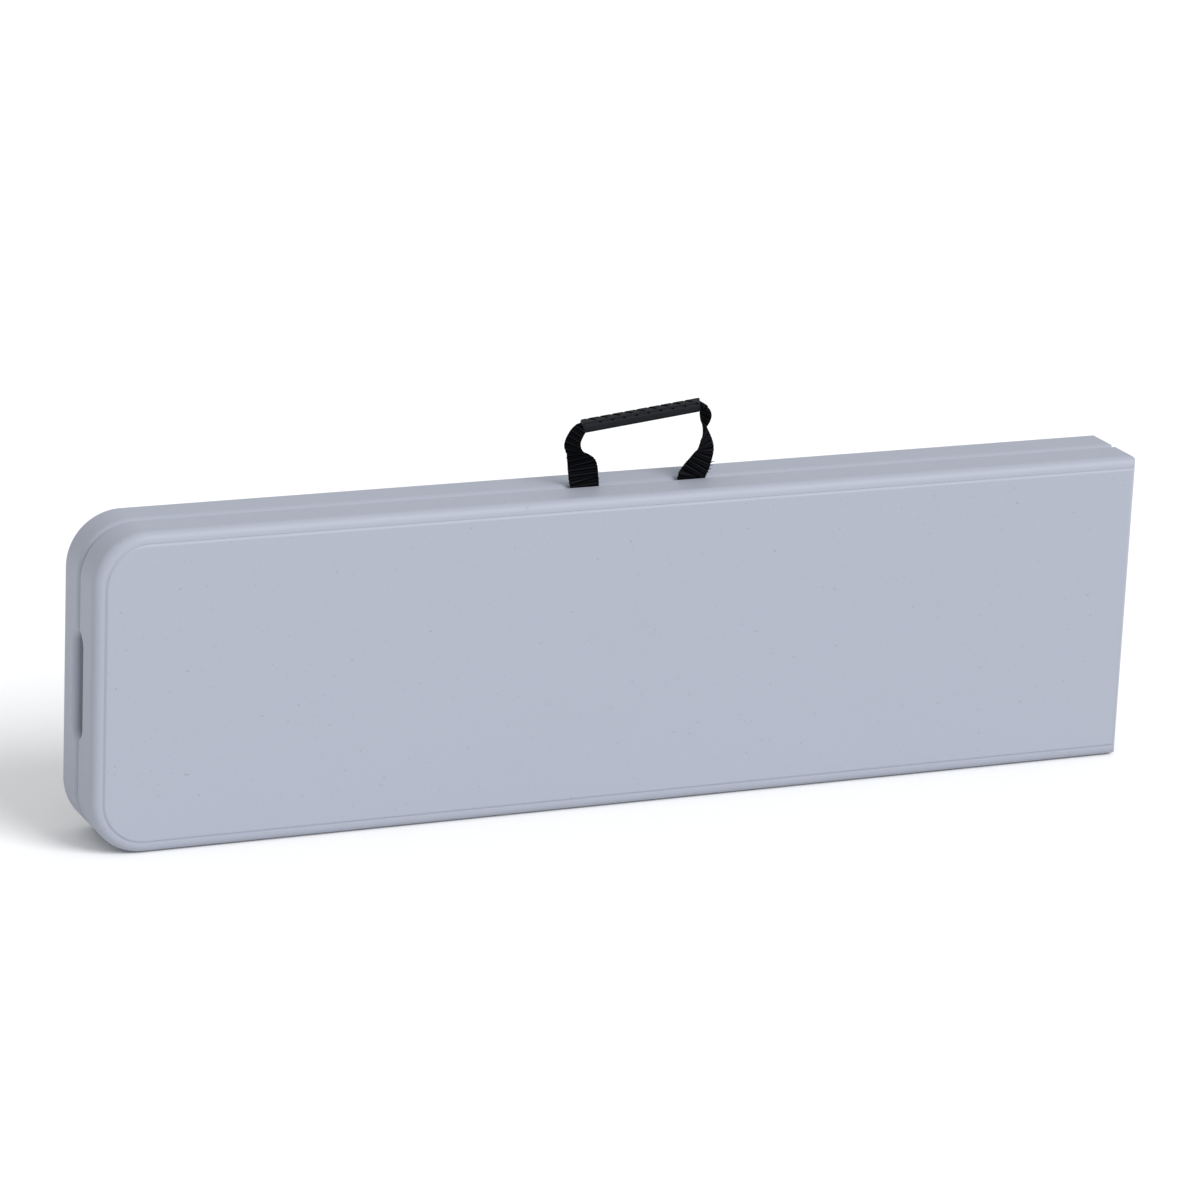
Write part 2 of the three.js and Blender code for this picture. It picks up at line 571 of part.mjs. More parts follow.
// The moulded sleeve that the strap runs through.
function grip() {
  const [start, end] = [new THREE.Vector2(...GRIP_START), new THREE.Vector2(...GRIP_END)];
  const length = start.distanceTo(end);
  const [halfWidth, halfThickness] = [GRIP_WIDTH / 2, GRIP_THICKNESS / 2];
  const round = 3.6;
  const shape = new THREE.Shape();
  const corners = [[1, -1, -90], [1, 1, 0], [-1, 1, 90], [-1, -1, 180]];
  corners.forEach(([side, face, from]) => {
    const [cx, cy] = [side * (halfWidth - round), face * (halfThickness - round)];
    const [a, b] = [from, from + 90].map(THREE.MathUtils.degToRad);
    shape.absarc(cx, cy, round, a, b, false);
  });
  const slot = new THREE.Path();
  const [slotWidth, slotThickness] = [FOLDED_WIDTH / 2 + 0.4, FOLDED_THICKNESS / 2 + 0.35];
  slot.moveTo(-slotWidth, -slotThickness).lineTo(-slotWidth, slotThickness);
  slot.lineTo(slotWidth, slotThickness).lineTo(slotWidth, -slotThickness).closePath();
  shape.holes.push(slot);
  const geometry = new THREE.ExtrudeGeometry(shape, { depth: length, bevelEnabled: false, curveSegments: 4 });
  const tilt = Math.atan2(end.y - start.y, end.x - start.x);
  geometry.rotateZ(Math.PI / 2).rotateY(Math.PI / 2 - tilt);
  return geometry.translate(start.x, -STRAP_DEPTH, start.y);
}

// ---- Assembly ----

const table = new THREE.Group();

function add(group, name, geometry, finish, place = [0, 0, 0]) {
  const mesh = new THREE.Mesh(geometry, new THREE.MeshStandardMaterial(finish));
  mesh.name = name;
  mesh.position.set(...place);
  group.add(mesh);
}

// Everything that each half holds. The rear half is the front half mirrored in the seam plane.
function addHalf(name, isRear) {
  const half = new THREE.Group();
  const hand = (geometry) => (isRear ? mirrored(geometry) : closed(geometry));
  const side = isRear ? 1 : -1;
  const panel = isRear ? topPanel() : cut(topPanel(), ...strapSlots());
  add(half, `${name}_top_panel`, hand(panel), plastic);
  add(half, `${name}_rail_lower`, hand(rail('lower')), zinc);
  add(half, `${name}_rail_upper`, hand(rail(isRear ? 'upper' : 'upper with strap holes')), zinc);

  const screwDepth = RAIL_BASE_DEPTH - RAIL_WALL;
  const driven = hand(closed(screw()));
  SCREW_XS.forEach((x, index) => {
    add(half, `${name}_rail_screw_lower_${index + 1}`, driven, zinc, [x, side * screwDepth, SCREW_Z]);
    add(half, `${name}_rail_screw_upper_${index + 1}`, driven, zinc, [x, side * screwDepth, WIDTH - SCREW_Z]);
  });

  add(half, `${name}_leg_tube`, hand(legTube()), paint);
  add(half, `${name}_leg_crossbar`, hand(crossbar()), paint);
  const pad = hand(closed(footPad()));
  const padReach = 44;
  add(half, `${name}_foot_pad_lower`, pad, black, [LEG_RUN_X, side * LEG_DEPTH, MID_Z - padReach]);
  add(half, `${name}_foot_pad_upper`, pad, black, [LEG_RUN_X, side * LEG_DEPTH, MID_Z + padReach]);
  const legGrip = LEG_Z + LEG_RADIUS + 0.8 - RAIL_OUTER_Z;
  const legRivet = closed(rivet(RIVET_RADIUS, 7, legGrip, 1.2).rotateX(Math.PI / 2));
  add(half, `${name}_leg_rivet_lower`, legRivet, zinc, [LEG_PIVOT_X, side * LEG_DEPTH, RAIL_OUTER_Z - 0.2]);
  add(half, `${name}_leg_rivet_upper`, turnedOver(legRivet.clone().translate(0, 0, RAIL_OUTER_Z - 0.2)),
    zinc, [LEG_PIVOT_X, side * LEG_DEPTH, 0]);

  const bracePlace = [BRACE_PIVOT_X, side * BRACE_DEPTH, MID_Z];
  add(half, `${name}_brace`, hand(brace()), paint, bracePlace);
  add(half, `${name}_brace_bracket`, hand(braceBracket()), zinc);
  const pinGrip = 2 * CHEEK_REACH + BRACKET_WALL + 0.4;
  const pin = rivet(PIN_RADIUS, 3.6, pinGrip, 1.2).translate(0, -pinGrip / 2, 0);
  const bracePin = closed(pin.rotateX(Math.PI / 2));
  add(half, `${name}_brace_pin`, bracePin, zinc, bracePlace);
  BRACKET_SCREW_ZS.forEach((z, index) => {
    const place = [BRACE_PIVOT_X, side * (RAIL_BASE_DEPTH - BRACKET_WALL), z];
    add(half, `${name}_bracket_screw_${index + 1}`, driven, zinc, place);
  });

  const leaf = hand(hingeLeaf(isRear));
  add(half, `${name}_hinge_leaf_lower`, leaf, zinc);
  add(half, `${name}_hinge_leaf_upper`, turnedOver(leaf), zinc);
  const leafRivet = hand(closed(rivet(LEAF_RIVET_RADIUS, 3.4, 4.4, 0.8).scale(1, -1, 1)));
  add(half, `${name}_leaf_rivet_lower`, leafRivet, zinc, [LEAF_RIVET_X, side * 1.5, SCREW_Z]);
  add(half, `${name}_leaf_rivet_upper`, leafRivet, zinc, [LEAF_RIVET_X, side * 1.5, WIDTH - SCREW_Z]);
  table.add(half);
}

function addHinges() {
  const pins = new THREE.Group();
  add(pins, 'hinge_pin_lower', closed(hingePin()), zinc);
  add(pins, 'hinge_pin_upper', turnedOver(hingePin()), zinc);
  table.add(pins);
}

function addHandle() {
  const handle = new THREE.Group();
  add(handle, 'handle_strap', strapLoop(), webbing);
  add(handle, 'handle_grip', closed(grip()), black);
  [['left', STRAP_LEFT], ['right', STRAP_RIGHT]].forEach(([name, x]) => {
    add(handle, `strap_tail_${name}`, strapTail(x), webbing);
    add(handle, `strap_anchor_${name}`, anchorPlate(x), zinc);
    const anchorRivet = closed(rivet(LEAF_RIVET_RADIUS, 3.4, 4.8, 0.7).scale(1, -1, 1));
    add(handle, `strap_rivet_${name}`, anchorRivet, zinc, [x, -1.1, WIDTH - SCREW_Z]);
  });
  table.add(handle);
}

addHalf('front', false);
addHalf('rear', true);
addHinges();
addHandle();

export default table;
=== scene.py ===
"""A bench-sized folding table, folded shut like a suitcase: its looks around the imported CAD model."""

import json
import logging
import math
import random
from dataclasses import dataclass, field
from enum import Enum
from typing import Callable

import bmesh
import bpy
from mathutils import Euler, Matrix, Vector

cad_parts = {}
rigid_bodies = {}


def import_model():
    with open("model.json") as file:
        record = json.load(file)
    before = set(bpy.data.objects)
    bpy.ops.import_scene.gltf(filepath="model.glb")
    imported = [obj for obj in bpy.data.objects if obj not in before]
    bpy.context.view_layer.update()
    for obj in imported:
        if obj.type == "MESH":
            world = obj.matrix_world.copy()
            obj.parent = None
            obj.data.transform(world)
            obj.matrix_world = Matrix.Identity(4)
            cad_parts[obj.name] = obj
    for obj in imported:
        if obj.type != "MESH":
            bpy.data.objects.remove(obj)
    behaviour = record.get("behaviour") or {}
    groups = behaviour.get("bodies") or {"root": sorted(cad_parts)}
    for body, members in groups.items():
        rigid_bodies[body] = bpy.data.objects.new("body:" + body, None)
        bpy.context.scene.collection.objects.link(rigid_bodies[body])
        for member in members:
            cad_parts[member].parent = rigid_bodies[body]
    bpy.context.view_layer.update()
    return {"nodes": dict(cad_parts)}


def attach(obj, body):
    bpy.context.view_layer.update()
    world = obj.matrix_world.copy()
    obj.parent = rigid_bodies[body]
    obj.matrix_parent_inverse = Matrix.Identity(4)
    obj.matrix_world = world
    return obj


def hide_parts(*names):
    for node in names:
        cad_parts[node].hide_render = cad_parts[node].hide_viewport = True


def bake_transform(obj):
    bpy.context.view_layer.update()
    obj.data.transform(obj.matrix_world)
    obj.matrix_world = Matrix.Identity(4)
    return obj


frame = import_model()

logging.basicConfig(level=logging.INFO, format="%(message)s")
log = logging.getLogger("folding_table")

MM = 0.001

# ---- The table's sizes, in millimetres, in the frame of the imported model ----
WIDTH = 260.0
OUTER_X = -453.25
HINGE_X = 448.75
END_X = HINGE_X - 0.5
HALF_THICKNESS = 40.0
FLOOR_DEPTH = 31.5
SEAM_GAP = 0.4
RIM_WIDTH = 12.0
MID_Z = WIDTH / 2


class Half(Enum):
    """The two halves of the table, by the side of the seam plane that each lies on."""

    FRONT = -1
    REAR = 1

    @property
    def word(self) -> str:
        """The half's name in piece and body names."""
        return self.name.lower()


class Axis(Enum):
    """A frame axis, as the turn that brings a primitive's own Z along it."""

    X = (0.0, math.pi / 2, 0.0)
    Y = (math.pi / 2, 0.0, 0.0)
    Z = (0.0, 0.0, 0.0)


# ---- Bench tools: short names for the modelling operators ----


def deselect_all() -> None:
    """Leaves nothing selected and nothing being edited."""
    if bpy.context.object and bpy.context.object.mode != "OBJECT":
        bpy.ops.object.mode_set(mode="OBJECT")
    for item in bpy.context.view_layer.objects:
        item.select_set(False)


def pick(piece: bpy.types.Object) -> None:
    """Makes one piece the only selected one, and the active one.

    Args:
        piece: The object to work on.
    """
    deselect_all()
    piece.select_set(True)
    bpy.context.view_layer.objects.active = piece


def settle(piece: bpy.types.Object) -> None:
    """Puts a piece's place, turn and size into its mesh.

    Args:
        piece: The object whose transform is applied.
    """
    pick(piece)
    bpy.ops.object.transform_apply(location=True, rotation=True, scale=True)


def named(name: str) -> bpy.types.Object:
    """Names the object that an operator has just added.

    Args:
        name: The piece's name.

    Returns:
        The active object, settled at the origin.
    """
    piece = bpy.context.object
    piece.name = name
    piece.data.name = name
    settle(piece)
    return piece


def block(name: str, low: tuple[float, float, float], high: tuple[float, float, float]) -> bpy.types.Object:
    """Adds a box between two corners.

    Args:
        name: The piece's name.
        low: The lowest corner in millimetres.
        high: The highest corner in millimetres.

    Returns:
        The new box.
    """
    deselect_all()
    middle = [(a + b) / 2 * MM for a, b in zip(low, high)]
    span = [(b - a) * MM for a, b in zip(low, high)]
    bpy.ops.mesh.primitive_cube_add(size=1, location=middle, scale=span)
    return named(name)


def bar(
    name: str,
    radius: float,
    length: float,
    middle: tuple[float, float, float],
    axis: Axis = Axis.Z,
    sides: int = 32,
    far_radius: float | None = None,
) -> bpy.types.Object:
    """Adds a round bar, or a taper when the far radius differs.

    Args:
        name: The piece's name.
        radius: Radius in millimetres, at the lower end.
        length: Length in millimetres.
        middle: The bar's middle in millimetres.
        axis: The frame axis that the bar lies along.
        sides: Number of sides.
        far_radius: Radius at the other end, if it tapers.

    Returns:
        The new bar.
    """
    deselect_all()
    bpy.ops.mesh.primitive_cone_add(
        vertices=sides,
        radius1=radius * MM,
        radius2=(radius if far_radius is None else far_radius) * MM,
        depth=length * MM,
        location=[value * MM for value in middle],
        rotation=axis.value,
    )
    return named(name)


def choose_edges(piece: bpy.types.Object, wanted: Callable[[Vector, Vector], bool]) -> int:
    """Opens a piece for editing and selects the edges whose two ends pass a test.

    Args:
        piece: The piece to edit.
        wanted: A test on an edge's two ends in millimetres.

    Returns:
        How many edges are selected.
    """
    pick(piece)
    bpy.ops.object.mode_set(mode="EDIT")
    bpy.ops.mesh.select_mode(type="EDGE")
    bpy.ops.mesh.select_all(action="DESELECT")
    shape = bmesh.from_edit_mesh(piece.data)
    for edge in shape.edges:
        first, second = (corner.co / MM for corner in edge.verts)
        edge.select_set(wanted(first, second))
    shape.select_flush_mode()
    bmesh.update_edit_mesh(piece.data)
    return sum(edge.select for edge in shape.edges)


def choose_faces(piece: bpy.types.Object, wanted: Callable[[Vector, Vector], bool]) -> int:
    """Opens a piece for editing and selects the faces that pass a test.

    Args:
        piece: The piece to edit.
        wanted: A test on a face's middle in millimetres and its normal.

    Returns:
        How many faces are selected.
    """
    pick(piece)
    bpy.ops.object.mode_set(mode="EDIT")
    bpy.ops.mesh.select_mode(type="FACE")
    bpy.ops.mesh.select_all(action="DESELECT")
    shape = bmesh.from_edit_mesh(piece.data)
    shape.normal_update()
    for face in shape.faces:
        face.select_set(wanted(face.calc_center_median() / MM, face.normal))
    bmesh.update_edit_mesh(piece.data)
    return sum(face.select for face in shape.faces)


def close_edit() -> None:
    """Leaves edit mode."""
    bpy.ops.object.mode_set(mode="OBJECT")


def soften(
    piece: bpy.types.Object,
    wanted: Callable[[Vector, Vector], bool],
    radius: float,
    segments: int = 4,
) -> None:
    """Rounds the chosen edges of a piece.

    Args:
        piece: The piece to round.
        wanted: A test on an edge's two ends in millimetres.
        radius: Bevel width in millimetres.
        segments: Number of faces across the bevel.
    """
    if choose_edges(piece, wanted):
        bpy.ops.mesh.bevel(offset=radius * MM, segments=segments, profile=0.5, clamp_overlap=True)
    close_edit()


def apply_modifier(piece: bpy.types.Object, kind: str, **values: object) -> None:
    """Adds a modifier, sets it up and applies it.

    Args:
        piece: The piece to change.
        kind: The modifier's type.
        values: Its settings.
    """
    pick(piece)
    bpy.ops.object.modifier_add(type=kind)
    modifier = piece.modifiers[-1]
    for key, value in values.items():
        setattr(modifier, key, value)
    bpy.ops.object.modifier_apply(modifier=modifier.name)


def combine(piece: bpy.types.Object, tool: bpy.types.Object, how: str = "DIFFERENCE") -> None:
    """Cuts, keeps or joins with a tool, which is used up.

    Args:
        piece: The piece to change.
        tool: The tool's object.
        how: The boolean operation.
    """
    apply_modifier(piece, "BOOLEAN", operation=how, object=tool, solver="EXACT")
    bpy.data.objects.remove(tool, do_unlink=True)


def joined(name: str, parts: list[bpy.types.Object]) -> bpy.types.Object:
    """Joins several objects into one mesh.

    Args:
        name: The result's name.
        parts: The objects to join.

    Returns:
        The joined object.
    """
    pick(parts[0])
    for part in parts[1:]:
        part.select_set(True)
    bpy.ops.object.join()
    return named(name)


def smoothed(piece: bpy.types.Object, degrees: float = 32.0) -> bpy.types.Object:
    """Shades a piece smooth up to an angle, with flat faces kept flat.

    Args:
        piece: The piece to shade.
        degrees: The sharpest angle that stays smooth.

    Returns:
        The same piece.
    """
    pick(piece)
    bpy.ops.object.shade_smooth_by_angle(angle=math.radians(degrees))
    apply_modifier(piece, "WEIGHTED_NORMAL", keep_sharp=True, weight=80)
    return piece


def copied(
    piece: bpy.types.Object,
    name: str,
    shift: tuple[float, float, float] = (0, 0, 0),
) -> bpy.types.Object:
    """Copies a piece, with a mesh of its own.

    Args:
        piece: The piece to copy.
        name: The copy's name.
        shift: How far the copy moves, in millimetres.

    Returns:
        The copy, settled at the origin.
    """
    pick(piece)
    bpy.ops.object.duplicate(linked=False)
    twin = bpy.context.object
    twin.location = [value * MM for value in shift]
    twin.name = name
    twin.data.name = name
    settle(twin)
    return twin


def reflected(piece: bpy.types.Object, name: str, plane: str = "Y", middle: float = 0.0) -> bpy.types.Object:
    """Copies a piece and mirrors the copy in a plane.

    Args:
        piece: The piece to copy.
        name: The copy's name.
        plane: The axis that the mirror plane faces.
        middle: Where the plane stands along that axis, in millimetres.

    Returns:
        The mirrored copy, with its faces pointing out.
    """
    twin = copied(piece, name)
    index = "XYZ".index(plane)
    scale = [1.0, 1.0, 1.0]
    scale[index] = -1.0
    twin.scale = scale
    place = [0.0, 0.0, 0.0]
    place[index] = 2 * middle * MM
    twin.location = place
    settle(twin)
    pick(twin)
    bpy.ops.object.mode_set(mode="EDIT")
    bpy.ops.mesh.select_all(action="SELECT")
    bpy.ops.mesh.normals_make_consistent(inside=False)
    close_edit()
    return twin


# ---- Shader effects shared by several finishes ----


class NodeSheet:
    """A small helper that adds and links nodes in one node tree."""

    def __init__(self, tree: bpy.types.NodeTree) -> None:
        """Keeps the tree.

        Args:
            tree: The node tree to build in.
        """
        self.tree = tree
        self.column = 0

    def add(self, kind: str, **settings: object) -> bpy.types.Node:
        """Adds a node and sets its properties or input values.

        Args:
            kind: The node's type name.
            settings: Properties by name, and inputs by name with spaces as underscores.

        Returns:
            The new node.
        """
        node = self.tree.nodes.new(kind)
        node.location = (self.column * 180, -60 * (self.column % 4))
        self.column += 1
        for key, value in settings.items():
            if hasattr(node, key):
                setattr(node, key, value)
            else:
                node.inputs[key.replace("_", " ")].default_value = value
        return node

    def link(self, source: bpy.types.NodeSocket, target: bpy.types.NodeSocket) -> None:
        """Links two sockets."""
        self.tree.links.new(source, target)

    def math(
        self,
        operation: str,
        first: object,
        second: object = 0.0,
        clamp: bool = False,
    ) -> bpy.types.NodeSocket:
        """Adds a Math node on two values or sockets.

        Args:
            operation: The Math node's operation.
            first: A number or an output socket.
            second: A number or an output socket.
            clamp: Whether the result is held between 0 and 1.

        Returns:
            The result socket.
        """
        node = self.add("ShaderNodeMath", operation=operation, use_clamp=clamp)
        for slot, value in zip(node.inputs, (first, second)):
            if isinstance(value, bpy.types.NodeSocket):
                self.link(value, slot)
            else:
                slot.default_value = value
        return node.outputs[0]

    def blend(self, mask: object, low: object, high: object) -> bpy.types.NodeSocket:
        """Mixes two colours by a mask.

        Args:
            mask: A number or socket from 0 to 1.
            low: The colour or socket where the mask is 0.
            high: The colour or socket where the mask is 1.

        Returns:
            The mixed colour socket.
        """
        node = self.add("ShaderNodeMix", data_type="RGBA")
        for slot, value in ((node.inputs["Factor"], mask), (node.inputs[6], low), (node.inputs[7], high)):
            if isinstance(value, bpy.types.NodeSocket):
                self.link(value, slot)
            else:
                slot.default_value = value
        return node.outputs[2]


def effect_group(
    name: str,
    inputs: dict[str, float],
    outputs: list[str],
    build: Callable[[NodeSheet, bpy.types.Node, bpy.types.Node], None],
) -> bpy.types.NodeTree:
    """Makes a shader node group once, with named number inputs and outputs and a vector input.

    Args:
        name: The group's name.
        inputs: Each number input and its usual value.
        outputs: The names of the number outputs.
        build: A function that fills the group in.

    Returns:
        The node group.
    """
    if name in bpy.data.node_groups:
        return bpy.data.node_groups[name]
    tree = bpy.data.node_groups.new(name, "ShaderNodeTree")
    tree.interface.new_socket("Vector", in_out="INPUT", socket_type="NodeSocketVector")
    for key, value in inputs.items():
        socket = tree.interface.new_socket(key, in_out="INPUT", socket_type="NodeSocketFloat")
        socket.default_value = value
    for key in outputs:
        tree.interface.new_socket(key, in_out="OUTPUT", socket_type="NodeSocketFloat")
    sheet = NodeSheet(tree)
    build(sheet, tree.nodes.new("NodeGroupInput"), tree.nodes.new("NodeGroupOutput"))
    return tree


def fleck_group() -> bpy.types.NodeTree:
    """Scattered round flecks: a mask from thresholded noise.

    Returns:
        The node group.
    """

    def build(sheet: NodeSheet, inlet: bpy.types.Node, outlet: bpy.types.Node) -> None:
        """Wires the noise through the threshold to the mask.

        Args:
            sheet: The node sheet to build on.
            inlet: The group's input node.
            outlet: The group's output node.
        """
        noise = sheet.add("ShaderNodeTexNoise", Detail=1.0, Roughness=0.4)
        sheet.link(inlet.outputs["Vector"], noise.inputs["Vector"])
        sheet.link(inlet.outputs["Scale"], noise.inputs["Scale"])
        over = sheet.math("SUBTRACT", noise.outputs[0], inlet.outputs["Threshold"])
        mask = sheet.math("DIVIDE", over, inlet.outputs["Softness"], clamp=True)
        sheet.link(mask, outlet.inputs["Mask"])

    return effect_group("flecks", {"Scale": 400.0, "Threshold": 0.7, "Softness": 0.04}, ["Mask"], build)


def mottle_group() -> bpy.types.NodeTree:
    """Slow cloudy variation: a value around one half.

    Returns:
        The node group.
    """

    def build(sheet: NodeSheet, inlet: bpy.types.Node, outlet: bpy.types.Node) -> None:
        """Wires the noise, centred and scaled, to the value.

        Args:
            sheet: The node sheet to build on.
            inlet: The group's input node.
            outlet: The group's output node.
        """
        noise = sheet.add("ShaderNodeTexNoise", Detail=4.0, Roughness=0.55)
        sheet.link(inlet.outputs["Vector"], noise.inputs["Vector"])
        sheet.link(inlet.outputs["Scale"], noise.inputs["Scale"])
        centred = sheet.math("SUBTRACT", noise.outputs[0], 0.5)
        scaled = sheet.math("MULTIPLY", centred, inlet.outputs["Strength"])
        value = sheet.math("ADD", scaled, 0.5, clamp=True)
        sheet.link(value, outlet.inputs["Value"])

    return effect_group("mottle", {"Scale": 12.0, "Strength": 1.0}, ["Value"], build)


def wear_group() -> bpy.types.NodeTree:
    """Edge wear: a mask on outward edges, broken up by noise.

    Returns:
        The node group.
    """

    def build(sheet: NodeSheet, inlet: bpy.types.Node, outlet: bpy.types.Node) -> None:
        """Wires the edge mask, broken up by the noise, to the mask.

        Args:
            sheet: The node sheet to build on.
            inlet: The group's input node.
            outlet: The group's output node.
        """
        geometry = sheet.add("ShaderNodeNewGeometry")
        edge = sheet.math("SUBTRACT", geometry.outputs["Pointiness"], 0.5)
        strong = sheet.math("MULTIPLY", edge, inlet.outputs["Sharpness"], clamp=True)
        noise = sheet.add("ShaderNodeTexNoise", Detail=3.0)
        sheet.link(inlet.outputs["Vector"], noise.inputs["Vector"])
        sheet.link(inlet.outputs["Scale"], noise.inputs["Scale"])
        broken = sheet.math("MULTIPLY", strong, noise.outputs[0], clamp=True)
        sheet.link(broken, outlet.inputs["Mask"])

    return effect_group("edge_wear", {"Scale": 90.0, "Sharpness": 8.0}, ["Mask"], build)


def grain_group() -> bpy.types.NodeTree:
    """Fine surface grain as a height for bump nodes.

    Returns:
        The node group.
    """

    def build(sheet: NodeSheet, inlet: bpy.types.Node, outlet: bpy.types.Node) -> None:
        """Wires the fine and the coarse grain to the height.

        Args:
            sheet: The node sheet to build on.
            inlet: The group's input node.
            outlet: The group's output node.
        """
        fine = sheet.add("ShaderNodeTexNoise", Detail=2.0, Roughness=0.6)
        sheet.link(inlet.outputs["Vector"], fine.inputs["Vector"])
        sheet.link(inlet.outputs["Scale"], fine.inputs["Scale"])
        coarse = sheet.add("ShaderNodeTexVoronoi", feature="SMOOTH_F1")
        sheet.link(inlet.outputs["Vector"], coarse.inputs["Vector"])
        half = sheet.math("MULTIPLY", inlet.outputs["Scale"], 0.45)
        sheet.link(half, coarse.inputs["Scale"])
        both = sheet.math("ADD", fine.outputs[0], coarse.outputs["Distance"])
        sheet.link(sheet.math("MULTIPLY", both, 0.5), outlet.inputs["Height"])

    return effect_group("grain", {"Scale": 500.0}, ["Height"], build)


# ---- Finishes ----


@dataclass(frozen=True)
class Finish:
    """What every finish has: a name, the record's slot and a base colour."""

    name: str
    slot: str
    color: tuple[float, float, float]
    roughness: float

    def material(self) -> bpy.types.Material:
        """Makes the material once, and hands the same one back after that.

        Returns:
            The material.
        """
        if self.name in bpy.data.materials:
            return bpy.data.materials[self.name]
        material = bpy.data.materials.new(self.name)
        material.use_nodes = True
        tree = material.node_tree
        tree.nodes.clear()
        sheet = NodeSheet(tree)
        output = sheet.add("ShaderNodeOutputMaterial")
        shader = sheet.add("ShaderNodeBsdfPrincipled")
        sheet.link(shader.outputs[0], output.inputs["Surface"])
        self.dress(sheet, shader)
        return material

    def dress(self, sheet: NodeSheet, shader: bpy.types.Node) -> None:
        """Fills in the finish's own nodes. Each finish has its own."""
        raise NotImplementedError

    def tone(self, factor: float) -> tuple[float, float, float, float]:
        """The base colour, lighter or darker by a factor."""
        return (*(min(1.0, part * factor) for part in self.color), 1.0)

    def effect(
        self,
        sheet: NodeSheet,
        tree: bpy.types.NodeTree,
        where: object,
        **values: float,
    ) -> bpy.types.Node:
        """Places an effect group on a coordinate socket.

        Args:
            sheet: The material's node sheet.
            tree: The group.
            where: The coordinate socket.
            values: The group's input values.

        Returns:
            The group node.
        """
        node = sheet.add("ShaderNodeGroup")
        node.node_tree = tree
        sheet.link(where, node.inputs["Vector"])
        for key, value in values.items():
            node.inputs[key].default_value = value
        return node


@dataclass(frozen=True)
class GranitePlastic(Finish):
    """Pale satin polyethylene with a faint mottle, fine dark flecks and moulded grain."""

    fleck_color: tuple[float, float, float] = (0.20, 0.22, 0.27)

    def dress(self, sheet: NodeSheet, shader: bpy.types.Node) -> None:
        """Builds the granite look on object coordinates.

        Args:
            sheet: The node sheet to build on.
            shader: The material's surface shader.
        """
        where = sheet.add("ShaderNodeTexCoord").outputs["Object"]
        cloud = self.effect(sheet, mottle_group(), where, Scale=9.0, Strength=1.2)
        fine = self.effect(sheet, mottle_group(), where, Scale=140.0, Strength=0.9)
        body = sheet.blend(cloud.outputs["Value"], self.tone(0.982), self.tone(1.018))
        body = sheet.blend(sheet.math("MULTIPLY", fine.outputs["Value"], 0.5), body, self.tone(1.012))
        small = self.effect(sheet, fleck_group(), where, Scale=560.0, Threshold=0.745, Softness=0.04)
        large = self.effect(sheet, fleck_group(), where, Scale=330.0, Threshold=0.755, Softness=0.03)
        dark = (*self.fleck_color, 1.0)
        body = sheet.blend(sheet.math("MULTIPLY", small.outputs["Mask"], 0.34), body, dark)
        body = sheet.blend(sheet.math("MULTIPLY", large.outputs["Mask"], 0.6), body, dark)
        sheet.link(body, shader.inputs["Base Color"])
        rough = sheet.math("MULTIPLY_ADD", fine.outputs["Value"], 0.12)
        rough.node.inputs[2].default_value = self.roughness - 0.06
        sheet.link(rough, shader.inputs["Roughness"])
        grain = self.effect(sheet, grain_group(), where, Scale=900.0)
        bump = sheet.add("ShaderNodeBump", Strength=0.12, Distance=0.00025)
        sheet.link(grain.outputs["Height"], bump.inputs["Height"])
        sheet.link(bump.outputs[0], shader.inputs["Normal"])
        shader.inputs["Specular IOR Level"].default_value = 0.35
        shader.inputs["Subsurface Weight"].default_value = 0.0


@dataclass(frozen=True)
class PowderCoat(Finish):
    """Grey powder coat with a fine orange-peel texture and lightly rubbed edges."""

    def dress(self, sheet: NodeSheet, shader: bpy.types.Node) -> None:
        """Builds the paint on object coordinates.

        Args:
            sheet: The node sheet to build on.
            shader: The material's surface shader.
        """
        where = sheet.add("ShaderNodeTexCoord").outputs["Object"]
        cloud = self.effect(sheet, mottle_group(), where, Scale=30.0, Strength=1.0)
        body = sheet.blend(cloud.outputs["Value"], self.tone(0.92), self.tone(1.08))
        dust = self.effect(sheet, fleck_group(), where, Scale=900.0, Threshold=0.66, Softness=0.05)
        body = sheet.blend(sheet.math("MULTIPLY", dust.outputs["Mask"], 0.25), body, self.tone(1.35))
        wear = self.effect(sheet, wear_group(), where, Scale=120.0, Sharpness=5.0)
        body = sheet.blend(sheet.math("MULTIPLY", wear.outputs["Mask"], 0.5), body, self.tone(1.7))
        sheet.link(body, shader.inputs["Base Color"])
        rough = sheet.math("MULTIPLY_ADD", cloud.outputs["Value"], 0.15)
        rough.node.inputs[2].default_value = self.roughness
        sheet.link(rough, shader.inputs["Roughness"])
        peel = self.effect(sheet, grain_group(), where, Scale=1400.0)
        bump = sheet.add("ShaderNodeBump", Strength=0.2, Distance=0.0002)
        sheet.link(peel.outputs["Height"], bump.inputs["Height"])
        sheet.link(bump.outputs[0], shader.inputs["Normal"])
        shader.inputs["Metallic"].default_value = 0.15
        shader.inputs["Coat Weight"].default_value = 0.15


